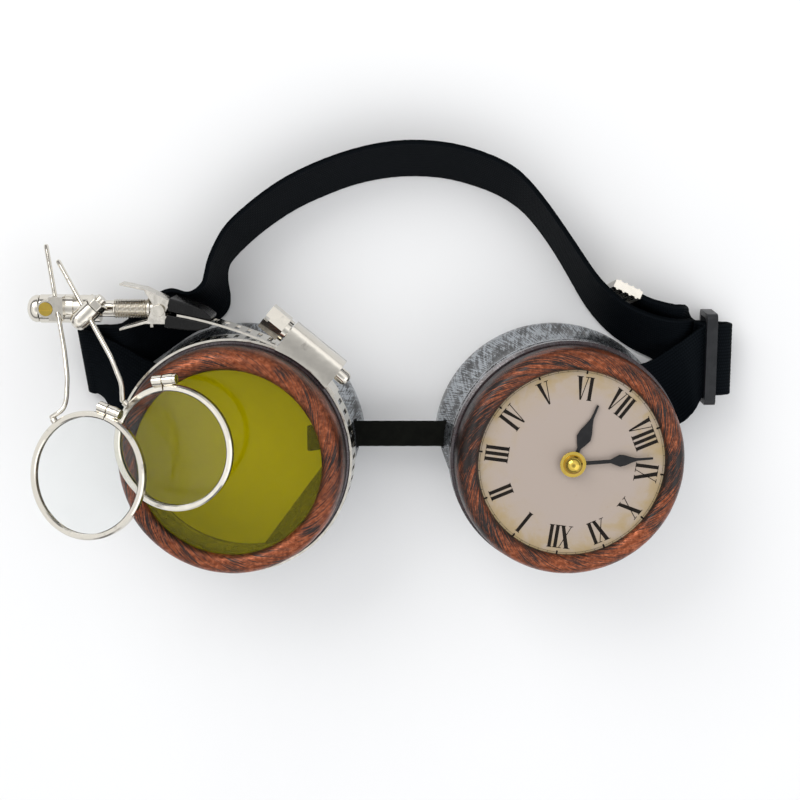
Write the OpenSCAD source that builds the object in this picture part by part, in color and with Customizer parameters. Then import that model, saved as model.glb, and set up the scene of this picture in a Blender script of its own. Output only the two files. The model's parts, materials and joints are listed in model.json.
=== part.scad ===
/* [Eyecups] */
// distance between the two eyecup centres where they rest
cup_spacing = 86; // [78:1:104]
// outward lean of each eyecup, degrees
cup_splay = 5; // [4:0.5:6]
// radius of the rear rim
rear_r = 33; // [32:0.25:34]
// radius of the waist behind the collar
waist_r = 30.4; // [29.6:0.2:30.8]
// radius of the collar that carries the hose clamp
collar_r = 31.8; // [31.2:0.1:32.4]
// radius of the threaded neck
neck_r = 28.9; // [28.4:0.1:29.4]
// wall thickness of the cup
cup_wall = 1.8; // [1.4:0.1:2.2]
// height of the neck above the rest face, along the cup axis
neck_top = 30.2; // [29:0.2:32]
// direction of the nose flat below horizontal, degrees
nose_angle = 37.4; // [30:1:45]
// distance of the nose flat from the cup axis at the rim
nose_reach = 24; // [22:0.5:27]

/* [Front rings] */
// outer radius of a front ring
ring_r = 31; // [30.4:0.1:31.4]
// radius of the opening in a front ring
opening_r = 25.2; // [24:0.2:26.4]
// length of a front ring along the cup axis
ring_length = 9; // [8:0.25:10]
// thickness of the tinted lens
lens_t = 2; // [1.5:0.1:2.2]

/* [Clock] */
// length of the hour hand
hour_length = 17; // [12:0.5:19]
// length of the minute hand
minute_length = 21.7; // [18:0.5:23.5]
// angle of the hour hand, anticlockwise from +X
hour_angle = 67; // [0:1:359]
// angle of the minute hand, anticlockwise from +X
minute_angle = 3; // [0:1:359]
// thickness of a hand
hand_t = 0.4; // [0.3:0.05:0.5]
// radius of the pin that the hands turn on
pin_r = 1; // [0.8:0.1:1.2]
// radius of the brass dome of the pin
dome_r = 2.65; // [2:0.05:3]

/* [Straps] */
// width of the head strap and its adjuster
strap_w = 20; // [16:0.5:20]
// thickness of the head strap and its adjuster
strap_t = 1.3; // [1:0.1:1.4]
// width of the nose bridge
bridge_w = 7.2; // [6:0.2:9]
// thickness of the nose bridge
bridge_t = 1.6; // [1.2:0.1:1.8]
// thickness of the strap slider
slider_t = 3; // [2:0.25:4]
// length of the metal crimp along the strap
crimp_l = 8; // [6:0.5:9]

/* [Hose clamp] */
// width of the clamp band
band_w = 8; // [6:0.5:8]
// thickness of the clamp band
band_t = 0.6; // [0.5:0.05:0.65]
// angle of the worm housing round the cup, degrees
housing_angle = 51; // [45:1:54]
// length of the worm housing
housing_l = 16.9; // [14:0.5:18]
// width across the flats of the screw head
screw_af = 7; // [5.5:0.5:8]

/* [Arm and loupes] */
// radius of the smooth neck of the arm rod
rod_r = 2.25; // [1.9:0.05:2.4]
// outer radius of a loupe ring
loupe_r = 16.7; // [14:0.1:17.2]
// thickness of a loupe ring
loupe_t = 2.2; // [1.8:0.1:2.6]
// diameter of a loupe stem
stem_d = 1.3; // [1:0.05:1.4]

/* [Hidden] */
$fn = 64;

// running clearance of every turning fit, on the radius
run_gap = 0.05;
// clearance between parts that only lie close
lie_gap = 0.3;
big = 200;
// spacing of the eyecups at which the straps and the arm are laid out
drawn_spacing = 86;

// the origin is the middle of the base of the whole object
middle_x = -4.1;
middle_y = 26.3;

// colours
silver = [0.72, 0.73, 0.74];
nickel = [0.8, 0.79, 0.75];
copper = [0.62, 0.32, 0.2];
brass = [0.8, 0.65, 0.25];
black = [0.06, 0.06, 0.07];

tinted = -1;
clock = 1;

// collar and neck heights along the cup axis
waist_low = 12;
bead_low = 20.3;
bead_high = 21.8;
lip_low = 22.8;
lip_high = 25.2;
ring_low = lip_high + lie_gap;
ring_high = ring_low + ring_length;

// nose flat slopes outward up the cup
nose_slope = 22;

// strap slots: angle above horizontal, height of the middle
slot_turn = 25;
slot_z = 6.5;
slot_gap = 0.5;
bridge_y = 3.1;
bridge_z = 9;
bridge_inside = 17.9;
bridge_rise = 6;

function cup_x(side) = side * cup_spacing / 2;

module home() {
    translate([-middle_x, -middle_y, 0]) children();
}

// frame of a cup: origin on the rest face, Z along the cup axis
module cup_seat(side) {
    translate([cup_x(side), 0, 0]) rotate([0, side * cup_splay, 0]) children();
}

module nose_cut(side, reach) {
    rotate([0, 0, side < 0 ? -nose_angle : 180 + nose_angle])
        translate([reach, 0, 0])
            rotate([0, nose_slope, 0])
                translate([-big, -big / 2, -big / 2]) cube(big);
}

module cup_outer(side) {
    intersection() {
        rotate_extrude($fn = 128)
            polygon([[0, -5], [rear_r, -5], [rear_r, 2.5], [rear_r - 0.5, 3.5],
                [waist_r + 0.4, waist_low - 1], [waist_r, waist_low],
                [waist_r, bead_low - 0.2], [collar_r - 0.3, bead_low],
                [collar_r, bead_low + 0.4], [collar_r, bead_high - 0.4], [collar_r - 0.3, bead_high],
                [collar_r - 0.9, bead_high + 0.3], [collar_r - 0.9, lip_low - 0.2],
                [collar_r - 0.2, lip_low], [collar_r, lip_low + 0.3], [collar_r, lip_high - 0.5],
                [collar_r - 0.6, lip_high], [neck_r, lip_high], [neck_r, neck_top - 0.4],
                [neck_r - 0.4, neck_top], [0, neck_top]]);
        nose_cut(side, nose_reach);
    }
}

module cup_inner(side) {
    neck_in = neck_r - cup_wall - 0.5;
    intersection() {
        rotate_extrude($fn = 128)
            polygon([[0, -6], [rear_r - cup_wall, -6], [rear_r - cup_wall, 2.5],
                [waist_r - cup_wall, waist_low], [waist_r - cup_wall, lip_low - 1],
                [neck_in, lip_high - 1], [neck_in, neck_top + 2], [0, neck_top + 2]]);
        nose_cut(side, nose_reach - cup_wall);
    }
}

module eyecup(side) {
    difference() {
        intersection() {
            cup_seat(side) difference() {
                cup_outer(side);
                cup_inner(side);
            }
            translate([cup_x(side) - big / 2, -big / 2, 0]) cube([big, big, big]);
        }
        translate([cup_x(side), 0, slot_z])
            rotate([0, 0, side > 0 ? slot_turn : 180 - slot_turn])
                translate([waist_r - 5, -strap_w / 2 - slot_gap, -strap_t / 2 - slot_gap])
                    cube([10, strap_w + 2 * slot_gap, strap_t + 2 * slot_gap]);
        translate([cup_x(side) - side * waist_r, bridge_y, bridge_z])
            cube([14, bridge_w + 2 * slot_gap, bridge_t + 2 * slot_gap], center = true);
    }
}

module tinted_eyecup() {
    color(silver) home() eyecup(tinted);
}

module clock_eyecup() {
    color(silver) home() eyecup(clock);
}

// front ring: screwed on the neck, rounded outside, lip over the lens
module front_ring(side) {
    thread_r = neck_r + run_gap;
    seat = neck_top + lens_t + run_gap;
    cup_seat(side) rotate_extrude($fn = 128)
        polygon([[thread_r, ring_low], [ring_r - 0.5, ring_low], [ring_r - 0.1, ring_low + 0.5],
            [ring_r, ring_low + 1.4], [ring_r, ring_low + 4.6], [ring_r - 0.25, ring_low + 6],
            [ring_r - 0.9, ring_low + 7.3], [ring_r - 1.9, ring_low + 8.3],
            [ring_r - 2.9, ring_high - 0.15], [ring_r - 3.6, ring_high], [ring_r - 4.3, ring_high - 0.1],
            [opening_r + 0.5, ring_high - 0.7], [opening_r, ring_high - 1.4], [opening_r, seat],
            [thread_r, seat]]);
}

module tinted_front_ring() {
    color(copper) home() front_ring(tinted);
}

module clock_front_ring() {
    color(copper) home() front_ring(clock);
}

module lens_seat(side) {
    cup_seat(side) translate([0, 0, neck_top]) children();
}

module tinted_lens() {
    color([0.75, 0.72, 0.1, 0.6]) home() lens_seat(tinted)
        cylinder(r = neck_r - lie_gap, h = lens_t, $fn = 128);
}

// clock: backing disc, card, two hands and the pin
card_t = 0.3;
hour_z = lens_t + 0.35;
minute_z = hour_z + hand_t + 0.25;

module dial_disc() {
    color([0.3, 0.3, 0.3]) home() lens_seat(clock) difference() {
        cylinder(r = neck_r - lie_gap, h = lens_t - card_t, $fn = 128);
        translate([0, 0, -1]) cylinder(r = pin_r, h = 5);
    }
}

module dial_card() {
    color([0.86, 0.82, 0.76]) home() lens_seat(clock) difference() {
        translate([0, 0, lens_t - card_t]) cylinder(r = neck_r - 0.4, h = card_t, $fn = 128);
        translate([0, 0, -1]) cylinder(r = pin_r, h = 5);
    }
}

// spade hand along +X: hub, neck, leaf and point
module hand(len, leaf, leaf_w) {
    difference() {
        union() {
            cylinder(r = pin_r + 1.1, h = hand_t);
            linear_extrude(hand_t) polygon([[0, -0.5], [len * leaf - leaf_w * 1.1, -0.5],
                [len * leaf - leaf_w * 0.8, -leaf_w * 0.3], [len * leaf - leaf_w * 0.35, -leaf_w * 0.5],
                [len * leaf + leaf_w * 0.1, -leaf_w * 0.42], [len * leaf + leaf_w * 0.7, -leaf_w * 0.2],
                [len * leaf + leaf_w * 1.1, -0.35], [len, -0.3], [len, 0.3],
                [len * leaf + leaf_w * 1.1, 0.35], [len * leaf + leaf_w * 0.7, leaf_w * 0.2],
                [len * leaf + leaf_w * 0.1, leaf_w * 0.42], [len * leaf - leaf_w * 0.35, leaf_w * 0.5],
                [len * leaf - leaf_w * 0.8, leaf_w * 0.3], [len * leaf - leaf_w * 1.1, 0.5], [0, 0.5]]);
        }
        translate([0, 0, -1]) cylinder(r = pin_r + run_gap, h = 3);
    }
}

module hour_hand() {
    color(black) home() lens_seat(clock) translate([0, 0, hour_z]) rotate([0, 0, hour_angle])
        hand(hour_length, 0.52, 4);
}

module minute_hand() {
    color(black) home() lens_seat(clock) translate([0, 0, minute_z]) rotate([0, 0, minute_angle])
        hand(minute_length, 0.64, 3.3);
}

module hands_pin() {
    flange_z = minute_z + hand_t + 0.1;
    color(brass) home() lens_seat(clock) {
        translate([0, 0, -1.2]) cylinder(r = pin_r, h = flange_z + 1.4);
        translate([0, 0, -1.2]) cylinder(r = pin_r + 1, h = 1.2);
        translate([0, 0, flange_z]) cylinder(r = dome_r + 0.85, h = 0.3);
        translate([0, 0, flange_z + 0.3]) intersection() {
            sphere(r = dome_r);
            cylinder(r = dome_r + 1, h = dome_r + 1);
        }
    }
}

// nose bridge: flat strip through both inner slots, ends bent up inside
module nose_bridge() {
    tip = cup_spacing / 2 - bridge_inside;
    half = bridge_t / 2;
    color(black) home() translate([0, bridge_y, bridge_z]) intersection() {
        translate([0, bridge_w / 2, 0]) rotate([90, 0, 0]) linear_extrude(bridge_w)
            polygon([[-tip, bridge_rise + half], [8 - tip, half], [tip - 8, half],
                [tip, bridge_rise + half], [tip, bridge_rise - half], [tip - 7.6, -half],
                [7.6 - tip, -half], [-tip, bridge_rise - half]]);
        translate([0, 0, -5]) linear_extrude(20) union() {
            square([2 * tip - 2, bridge_w], center = true);
            square([2 * tip, bridge_w - 2], center = true);
            for (sx = [-1, 1], sy = [-1, 1])
                translate([sx * (tip - 1), sy * (bridge_w / 2 - 1)]) circle(r = 1, $fn = 24);
        }
    }
}

// ribbons: each station is x, y, z of the middle, azimuth and lean of the width direction
function spread(x) = x + max(-1, min(1, 2 * x / drawn_spacing)) * (cup_spacing - drawn_spacing) / 2;
function unit(v) = v / norm(v);
function width_dir(s) = [sin(s[4]) * cos(s[3]), sin(s[4]) * sin(s[3]), cos(s[4])];
function point_of(s) = [spread(s[0]), s[1], s[2]];
function curve(a, b, c, d, t) = 0.5 * (2 * b + (c - a) * t + (2 * a - 5 * b + 4 * c - d) * t * t
    + (3 * b - a - 3 * c + d) * t * t * t);
function smooth_route(p, n) = [
    for (i = [0 : len(p) - 2]) for (j = [0 : n - 1])
        curve(p[max(i - 1, 0)], p[i], p[i + 1], p[min(i + 2, len(p) - 1)], j / n),
    p[len(p) - 1]];
// half turn round a bar that lies along the width direction; from is the first side
function turn_route(mid, az, lean, from, out, r, stretch, steps) = [
    for (i = [0 : steps]) let (a = 180 * i / steps,
        q = mid + r * cos(a) * from + r * stretch * sin(a) * out) [q[0], q[1], q[2], az, lean]];

module ribbon(route, w, t) {
    n = len(route);
    pts = [for (i = [0 : n - 1])
        let (along = unit(point_of(route[min(i + 1, n - 1)]) - point_of(route[max(i - 1, 0)])),
            wide = width_dir(route[i]),
            thick = unit(cross(along, wide)),
            q = point_of(route[i]),
            low = abs(wide[2]) * w / 2 + abs(thick[2]) * t / 2 + 0.05,
            p = [q[0], q[1], max(q[2], low)])
        each [p + wide * w / 2 + thick * t / 2, p - wide * w / 2 + thick * t / 2,
            p - wide * w / 2 - thick * t / 2, p + wide * w / 2 - thick * t / 2]];
    faces = concat([[3, 2, 1, 0]], [[4 * n - 4, 4 * n - 3, 4 * n - 2, 4 * n - 1]],
        [for (i = [0 : n - 2]) for (k = [0 : 3]) let (a = 4 * i + k, b = 4 * i + (k + 1) % 4)
            each [[a, b, b + 4], [a, b + 4, a + 4]]]);
    polyhedron(pts, faces, convexity = 10);
}

// left fold of the head strap
fold_az = 94;
fold_lean = 70;
fold_mid = [-85.4, 23.4, 5.6];
fold_r = 1.5;
fold_wide = [sin(fold_lean) * cos(fold_az), sin(fold_lean) * sin(fold_az), cos(fold_lean)];
fold_out = unit([-1, 0, 0] - (([-1, 0, 0] * fold_wide) * fold_wide));
fold_front = unit(cross(fold_wide, fold_out));

// slider and the loops round its middle bar
slider_x = 85.5;
slider_y = 24.5;
slider_z = 7.2;
slider_l = 25.5;
slider_h = 12;
slot_h = 3.4;
bar_r = 0.8;
sewn_r = bar_r + 0.1 + strap_t / 2;
outer_loop_r = sewn_r + strap_t + 0.1;
strap_y = 24.1;

head_left = [[-69.2, 12.2, 6.5, 65, 90], [-72, 13.5, 6.5, 65, 90], [-75, 15, 6.7, 68, 88],
    [-79, 18.6, 7, 80, 80], [-83, 21.9, 7.1, 90, 73]];
head_round = [[-82.4, 24.2, 4.3, 94, 70], [-80, 24.8, 4.8, 93, 64], [-76.2, 26.2, 6, 94, 55],
    [-72.4, 28.8, 7, 102, 48], [-67.6, 32.8, 7, 115, 48], [-62.2, 36.6, 7, 121, 48],
    [-57.4, 38.7, 7.1, 132, 48], [-53.9, 40.3, 7.7, 148, 41], [-51.9, 42.7, 8.8, 162, 26],
    [-50.6, 46.2, 9.8, 160, 13], [-49.4, 51.4, 9.9, 140, 13], [-44.9, 58.1, 9.6, 127, 21],
    [-38.6, 63.8, 9.4, 117, 24],
    [-30.8, 69.2, 9.2, 112, 26], [-23, 73.1, 9.1, 107, 27.5], [-14, 76.5, 9, 102, 28],
    [-5, 78.6, 9, 97, 29], [3.7, 79.3, 8.9, 90, 29.5], [12.8, 78.6, 9, 84, 29],
    [21.3, 76.4, 9, 76, 28], [29.3, 72.8, 9.2, 68, 25], [36, 67, 9.7, 58, 18],
    [42, 59.4, 9.9, 48, 15], [46.9, 52.2, 10, 38, 15], [50.7, 46.4, 9.9, 38, 17],
    [54.7, 41.2, 9.7, 42, 22], [58.9, 37, 9.3, 50, 27], [63.1, 34, 8.9, 58, 32],
    [68, 31.4, 8.4, 69, 37], [73.4, 29.4, 7.9, 76, 43], [77.4, 27.1, 7, 82, 60],
    [80.4, 25.1, 5.95, 88, 82], [83, 24.3, 5.65, 90, 90]];
adjust_start = [[69.2, 12.2, 6.5, 115, 90], [72, 13.5, 6.5, 115, 90], [75.4, 15.4, 7.9, 113, 90],
    [79.8, 19.9, 10.9, 102, 90], [82.2, 22.6, 10.9, 94, 90], [84, 23.9, 10.3, 90, 90]];

// a station moved across and along the width of the ribbon that it lies beside
function beside(r, i, across, rise) = let (
    along = unit(point_of(r[i + 1]) - point_of(r[i - 1])),
    wide = width_dir(r[i]),
    q = [r[i][0], r[i][1], r[i][2]] + unit(cross(wide, along)) * across + wide * rise)
    [q[0], q[1], q[2], r[i][3], r[i][4]];

head_main = smooth_route(head_round, 2);
head_loop = concat(head_main, turn_route([slider_x, strap_y, slider_z], 90, 90, [0, 0, -1], [1, 0, 0],
    sewn_r, 1, 10));
// end of the head strap sewn down on itself, and loose end of the adjuster beside it
last_main = len(head_main) - 1;
sewn_lift = strap_t + 0.45;
head_sewn = [beside(head_loop, last_main, -2.4, 0), beside(head_loop, last_main - 1, -1.9, 0),
    beside(head_loop, last_main - 2, -sewn_lift, 0)];
adjust_loose = smooth_route([[83, 24.3, 4, 90, 90], [82, 24.5, 3.75, 89, 88], [81, 25.2, 3.5, 89, 86],
    [80, 26.5, 3.4, 87, 81], [79, 28.2, 3.8, 85, 75], [78, 29.8, 4.9, 83, 67], [77, 31.1, 6.1, 82, 58],
    [76, 32.2, 7.2, 80, 50], [74.6, 33.6, 8.2, 78, 41], [72.6, 35, 9, 76, 33], [69.2, 37.3, 9.7, 73, 24],
    [66.6, 39.1, 10, 71, 18], [65.6, 39.65, 10.05, 70, 17]], 2);
loose_last = adjust_loose[len(adjust_loose) - 1];
loose_dir = unit(point_of(loose_last) - point_of(adjust_loose[len(adjust_loose) - 2]));
// straight last stretch, square to its own direction, that the crimp is folded over
loose_wide = unit(width_dir(loose_last) - (width_dir(loose_last) * loose_dir) * loose_dir);
function further(s, d) = [s[0] + d * loose_dir[0], s[1] + d * loose_dir[1], s[2] + d * loose_dir[2],
    atan2(loose_wide[1], loose_wide[0]), acos(loose_wide[2])];
adjust_end = concat(adjust_loose, [further(loose_last, 0.8), further(loose_last, 1.4 + crimp_l)]);

module head_strap() {
    route = concat(smooth_route(head_left, 2),
        turn_route(fold_mid, fold_az, fold_lean, fold_front, fold_out, fold_r, 1.6, 8),
        head_loop, head_sewn);
    color(black) home() ribbon(route, strap_w, strap_t);
}

module adjuster_strap() {
    route = concat(smooth_route(adjust_start, 2),
        turn_route([slider_x, strap_y, slider_z], 90, 90, [0, 0, 1], [1, 0, 0], outer_loop_r, 2, 12),
        adjust_end);
    color(black) home() ribbon(route, strap_w, strap_t);
}

// three-bar slider standing across the strap; bars lie along Y
module strap_slider() {
    corner = 1.5;
    open_l = slider_l - 3;
    open_h = 2 * (slot_h + bar_r);
    color(black) home() translate([spread(slider_x), slider_y, slider_z]) {
        rotate([90, 0, 90]) translate([0, 0, -slider_t / 2]) linear_extrude(slider_t) difference() {
            union() {
                square([slider_l - 2 * corner, slider_h], center = true);
                square([slider_l, slider_h - 2 * corner], center = true);
                for (sx = [-1, 1], sy = [-1, 1])
                    translate([sx * (slider_l / 2 - corner), sy * (slider_h / 2 - corner)])
                        circle(r = corner, $fn = 24);
            }
            square([open_l, open_h], center = true);
        }
        rotate([90, 0, 0]) cylinder(r = bar_r, h = slider_l - 1.5, center = true);
    }
}

// crimp folded over the loose end of the adjuster strap
crimp_at = adjust_end[len(adjust_end) - 1];
crimp_prev = adjust_end[len(adjust_end) - 2];

module along_ribbon(s, from) {
    x_dir = unit(point_of(s) - point_of(from));
    y0 = width_dir(s);
    y_dir = unit(y0 - (y0 * x_dir) * x_dir);
    z_dir = cross(x_dir, y_dir);
    p = point_of(s);
    multmatrix([[x_dir[0], y_dir[0], z_dir[0], p[0]], [x_dir[1], y_dir[1], z_dir[1], p[1]],
        [x_dir[2], y_dir[2], z_dir[2], p[2]], [0, 0, 0, 1]]) children();
}

module strap_end_crimp() {
    color(nickel) home() along_ribbon(crimp_at, crimp_prev) difference() {
        union() {
            translate([-crimp_l + 1, -strap_w / 2 - 0.3, -strap_t / 2 - 0.45])
                cube([crimp_l, strap_w + 0.6, strap_t + 0.9]);
            for (i = [0 : 3], s = [-1, 1])
                translate([-crimp_l + 2.2 + i * (crimp_l - 2.4) / 3, 0, s * (strap_t / 2 + 0.4)])
                    rotate([90, 0, 0]) cylinder(r = 0.4, h = strap_w + 0.4, center = true, $fn = 24);
        }
        translate([-crimp_l, -strap_w / 2 - 0.05, -strap_t / 2 - 0.05])
            cube([crimp_l + 0.05, strap_w + 0.1, strap_t + 0.1]);
    }
}

// hose clamp, drawn in the frame of the tinted cup
band_mid = 21;
band_in = collar_r + run_gap;
band_out = band_in + band_t;
tail_bend = 110;
tail_turn = housing_angle + 14;
tail_end = tail_turn + 15.5;
band_slots = 65;
slot_step = 360 / band_slots;
worm_r = 2.45;
worm_at = band_out + band_t + run_gap + worm_r;
housing_w = band_w + 1.4;
housing_s = [-9.4, housing_l - 9.4];

module band_slot_at(r, turn) {
    rotate([0, 0, turn]) translate([r, 0, band_mid]) cube([3, 1.2, band_w - 3], center = true);
}

module clamp_band() {
    outer_mid = band_out + band_t / 2;
    color(nickel) home() cup_seat(tinted) {
        difference() {
            translate([0, 0, band_mid - band_w / 2]) difference() {
                cylinder(r = band_out, h = band_w, $fn = 128);
                translate([0, 0, -1]) cylinder(r = band_in, h = band_w + 2, $fn = 128);
            }
            for (i = [0 : band_slots - 1])
                if (i * slot_step < housing_angle - 20 || i * slot_step > tail_turn + 4)
                    band_slot_at(band_out, i * slot_step);
        }
        translate([0, 0, band_mid - band_w / 2]) rotate([0, 0, housing_angle - 19])
            rotate_extrude(angle = tail_turn - housing_angle + 19, $fn = 128)
                translate([band_out, 0]) square([band_t, band_w]);
        translate([(outer_mid - tail_bend) * cos(tail_turn), (outer_mid - tail_bend) * sin(tail_turn), 0])
            difference() {
                translate([0, 0, band_mid - band_w / 2]) rotate([0, 0, tail_turn])
                    rotate_extrude(angle = tail_end - tail_turn, $fn = 256)
                        translate([tail_bend - band_t / 2, 0]) square([band_t, band_w]);
                for (i = [1 : 8])
                    band_slot_at(tail_bend, tail_turn + 0.6 + i * 1.62);
            }
    }
}

// frame of the worm: X along the screw towards its tip, Z along the cup axis
module worm_seat() {
    cup_seat(tinted) rotate([0, 0, housing_angle - 90]) translate([0, worm_at, band_mid]) children();
}

module clamp_housing() {
    half = housing_w / 2;
    color(nickel) home() difference() {
        worm_seat() translate([housing_s[0], 0, 0]) rotate([90, 0, 90]) linear_extrude(housing_l)
            polygon([[-5, -half], [1.6, -half], [3, -half + 0.8], [3.6, -half + 2.2],
                [3.6, half - 2.2], [3, half - 0.8], [1.6, half], [-5, half]]);
        cup_seat(tinted) cylinder(r = band_in + 0.1, h = 50, $fn = 128);
        cup_seat(tinted) translate([0, 0, band_mid - band_w / 2 - run_gap])
            cylinder(r = band_out + band_t + run_gap, h = band_w + 2 * run_gap, $fn = 128);
        worm_seat() translate([housing_s[0] + 1.2, 0, 0]) rotate([0, 90, 0])
            cylinder(r = worm_r + run_gap, h = housing_l - 2.4);
        worm_seat() translate([housing_s[0] - 1, 0, 0]) rotate([0, 90, 0])
            cylinder(r = 1.7 + run_gap, h = housing_l + 2);
        // the tail leaves straight past the end wall
        cup_seat(tinted) translate([(band_out + band_t / 2 - tail_bend) * cos(tail_turn),
            (band_out + band_t / 2 - tail_bend) * sin(tail_turn), band_mid - band_w / 2 - run_gap])
            rotate([0, 0, tail_turn]) rotate_extrude(angle = 6, $fn = 256)
                translate([tail_bend - band_t, 0]) square([2 * band_t, band_w + 2 * run_gap]);
    }
}

module clamp_screw() {
    worm_from = housing_s[0] + 1.25;
    worm_to = housing_s[1] - 1.25;
    turns = 6;
    step = (worm_to - worm_from) / turns;
    color(nickel) home() worm_seat() rotate([0, 90, 0]) difference() {
        union() {
            translate([0, 0, worm_from]) rotate_extrude() polygon(concat([[0, 0]],
                [for (i = [0 : turns - 1]) each [[1.8, i * step], [worm_r, (i + 0.35) * step],
                    [worm_r, (i + 0.65) * step], [1.8, (i + 1) * step]]], [[0, worm_to - worm_from]]));
            translate([0, 0, housing_s[0] - 2.2]) cylinder(r = 1.7, h = housing_l + 2.4);
            translate([0, 0, housing_s[0] - 1.6]) cylinder(r = 3.3, h = 1.3);
            translate([0, 0, housing_s[0] - 7.6]) cylinder(r = screw_af / 2 / cos(30), h = 6, $fn = 6);
            translate([0, 0, housing_s[1] + 0.2]) rotate_extrude() polygon([[0, 0], [2, 0], [2, 2.2],
                [1.7, 2.9], [1, 3.4], [0, 3.5]]);
        }
        translate([0, 0, housing_s[0] - 7.2]) cube([screw_af + 3, 1.2, 2], center = true);
    }
}

// crocodile clip: X towards the jaw tips, Z along the pivot pin
clip_turn = 78.5;
clip_back = 9;
clip_half = 3.3;
sheet_t = 0.5;
jaw_gap = band_t / 2 + 0.12;

module clip_seat() {
    cup_seat(tinted)
        translate([(band_out + band_t / 2 - tail_bend) * cos(tail_turn) + tail_bend * cos(clip_turn),
            (band_out + band_t / 2 - tail_bend) * sin(tail_turn) + tail_bend * sin(clip_turn), band_mid])
            rotate([0, 0, clip_turn - 90]) translate([-clip_back, 0, 0]) children();
}

module pressed(outer, inner, half) {
    difference() {
        translate([0, 0, -half]) linear_extrude(2 * half) polygon(outer);
        translate([0, 0, sheet_t - half]) linear_extrude(2 * half - 2 * sheet_t) polygon(inner);
    }
}

arm_shift = (drawn_spacing - cup_spacing) / 2;
arm_y = 39.7;
arm_z = 19;
thread_end = -67.8;
socket_end = -66.4;
stub_r = 1.5;
washer_t = 0.6;

// frame of the arm: Z towards -X along the rod, origin at x = 0
module arm_seat() {
    translate([arm_shift, arm_y, arm_z]) rotate([0, -90, 0]) children();
}

module clip_fixed_jaw() {
    color(nickel) home() difference() {
        union() {
            clip_seat() pressed(
                [[13.2, -1], [13.2, -1.7], [9, -2.7], [2, -3.3], [-3, -4.3], [-9.5, -7.6],
                    [-9.7, -7.1], [-2.6, -3.3], [-1.9, 0.6], [0, 1.8], [1.6, 0.4], [2.1, -1.05]],
                [[12.8, 2], [12.8, -1.3], [9, -2.2], [2, -2.8], [-3, -3.7], [-9.9, -7.2],
                    [-9.9, 4], [0, 4]], clip_half);
            arm_seat() translate([0, 0, -socket_end])
                cylinder(r = 2.1, h = socket_end - thread_end - washer_t);
            translate([arm_shift - 67.2, arm_y - 4.9, arm_z - 1.7]) cube([0.8, 4.5, 3.4]);
        }
        arm_seat() cylinder(r = stub_r, h = 80);
        clip_seat() translate([0, 0, -5]) cylinder(r = 1, h = 10);
    }
}

module clip_moving_jaw() {
    half = clip_half - sheet_t - 0.1;
    color(nickel) home() difference() {
        clip_seat() pressed(
            [[13.2, 1], [13.2, 1.7], [9, 2.7], [2, 3.2], [-5, 4.9], [-11.8, 4.9], [-11.8, 4.4],
                [-5, 4.4], [-2.2, 1.4], [-1.4, -1.4], [1.4, -1.5], [2.1, 1.05]],
            [[12.8, -2], [12.8, 1.3], [9, 2.2], [2, 2.7], [-5, 4.4], [-11.9, 4.4], [-11.9, -4],
                [0, -4]], half);
        clip_seat() translate([0, 0, -5]) cylinder(r = 1 + run_gap, h = 10);
    }
}

module clip_pin() {
    color(nickel) home() clip_seat() {
        translate([0, 0, -clip_half - 0.4]) cylinder(r = 1, h = 2 * clip_half + 0.8);
        for (s = [-1, 1]) translate([0, 0, s * (clip_half + 0.25)]) cylinder(r = 1.6, h = 0.5, center = true);
    }
}

// torsion spring: a tube wound round the pin, both legs along the fixed jaw
spring_r = 1.65;
spring_wire = 0.5;
spring_turns = 3;
spring_pitch = 1.05;
function spring_point(k) = let (a = 200 + k * 45)
    [spring_r * cos(a), spring_r * sin(a), (k / 8 - spring_turns / 2) * spring_pitch];

module clip_spring() {
    rings = spring_turns * 8;
    sides = 6;
    pts = [for (k = [0 : rings]) let (p = spring_point(k), a = 200 + k * 45,
        along = unit([-sin(a) * spring_r, cos(a) * spring_r, spring_pitch / 6.2832]),
        side = [cos(a), sin(a), 0], up = cross(along, side))
        each [for (j = [0 : sides - 1]) p + spring_wire / 2 * (cos(j * 60) * side + sin(j * 60) * up)]];
    last = rings * sides;
    faces = concat([[for (j = [0 : sides - 1]) j]], [[for (j = [sides - 1 : -1 : 0]) last + j]],
        [for (i = [0 : rings - 1]) for (j = [0 : sides - 1]) let (a = i * sides + j,
            b = i * sides + (j + 1) % sides) each [[a, b + sides, b], [a, a + sides, b + sides]]]);
    color(nickel) home() clip_seat() polyhedron(pts, faces, convexity = 10);
}
echo(spring_gap = spring_pitch - spring_wire);

// rubber sleeve on a jaw, open at its rear end
module jaw_sleeve(s) {
    tip = 14.2;
    half = clip_half + 0.8;
    inside = s < 0 ? clip_half + 0.02 : clip_half - sheet_t - 0.08;
    difference() {
        translate([0, 0, -half]) linear_extrude(2 * half)
            polygon([[2.6, s * jaw_gap], [tip, s * jaw_gap], [tip + 0.2, s * 1.5],
                [tip - 2.6, s * 2.9], [9, s * 3.5], [2.4, s * 4.1], [2.2, s * 2]]);
        translate([0, 0, -inside]) linear_extrude(2 * inside)
            polygon([[0, s * 0.98], [13.22, s * 0.98], [13.22, s * 1.72], [9, s * 2.72], [2, s * 3.32],
                [0, s * 3.8]]);
    }
}

module fixed_jaw_sleeve() {
    color(black) home() clip_seat() jaw_sleeve(-1);
}

module moving_jaw_sleeve() {
    color(black) home() clip_seat() jaw_sleeve(1);
}

// arm rod: stub in the clip socket, thread, smooth neck
thread_r = 2.65;
thread_l = 9.4;
thread_step = 0.67;
rod_end = 98.3;
neck_from = 70;
cap_from = 96.8;

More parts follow.
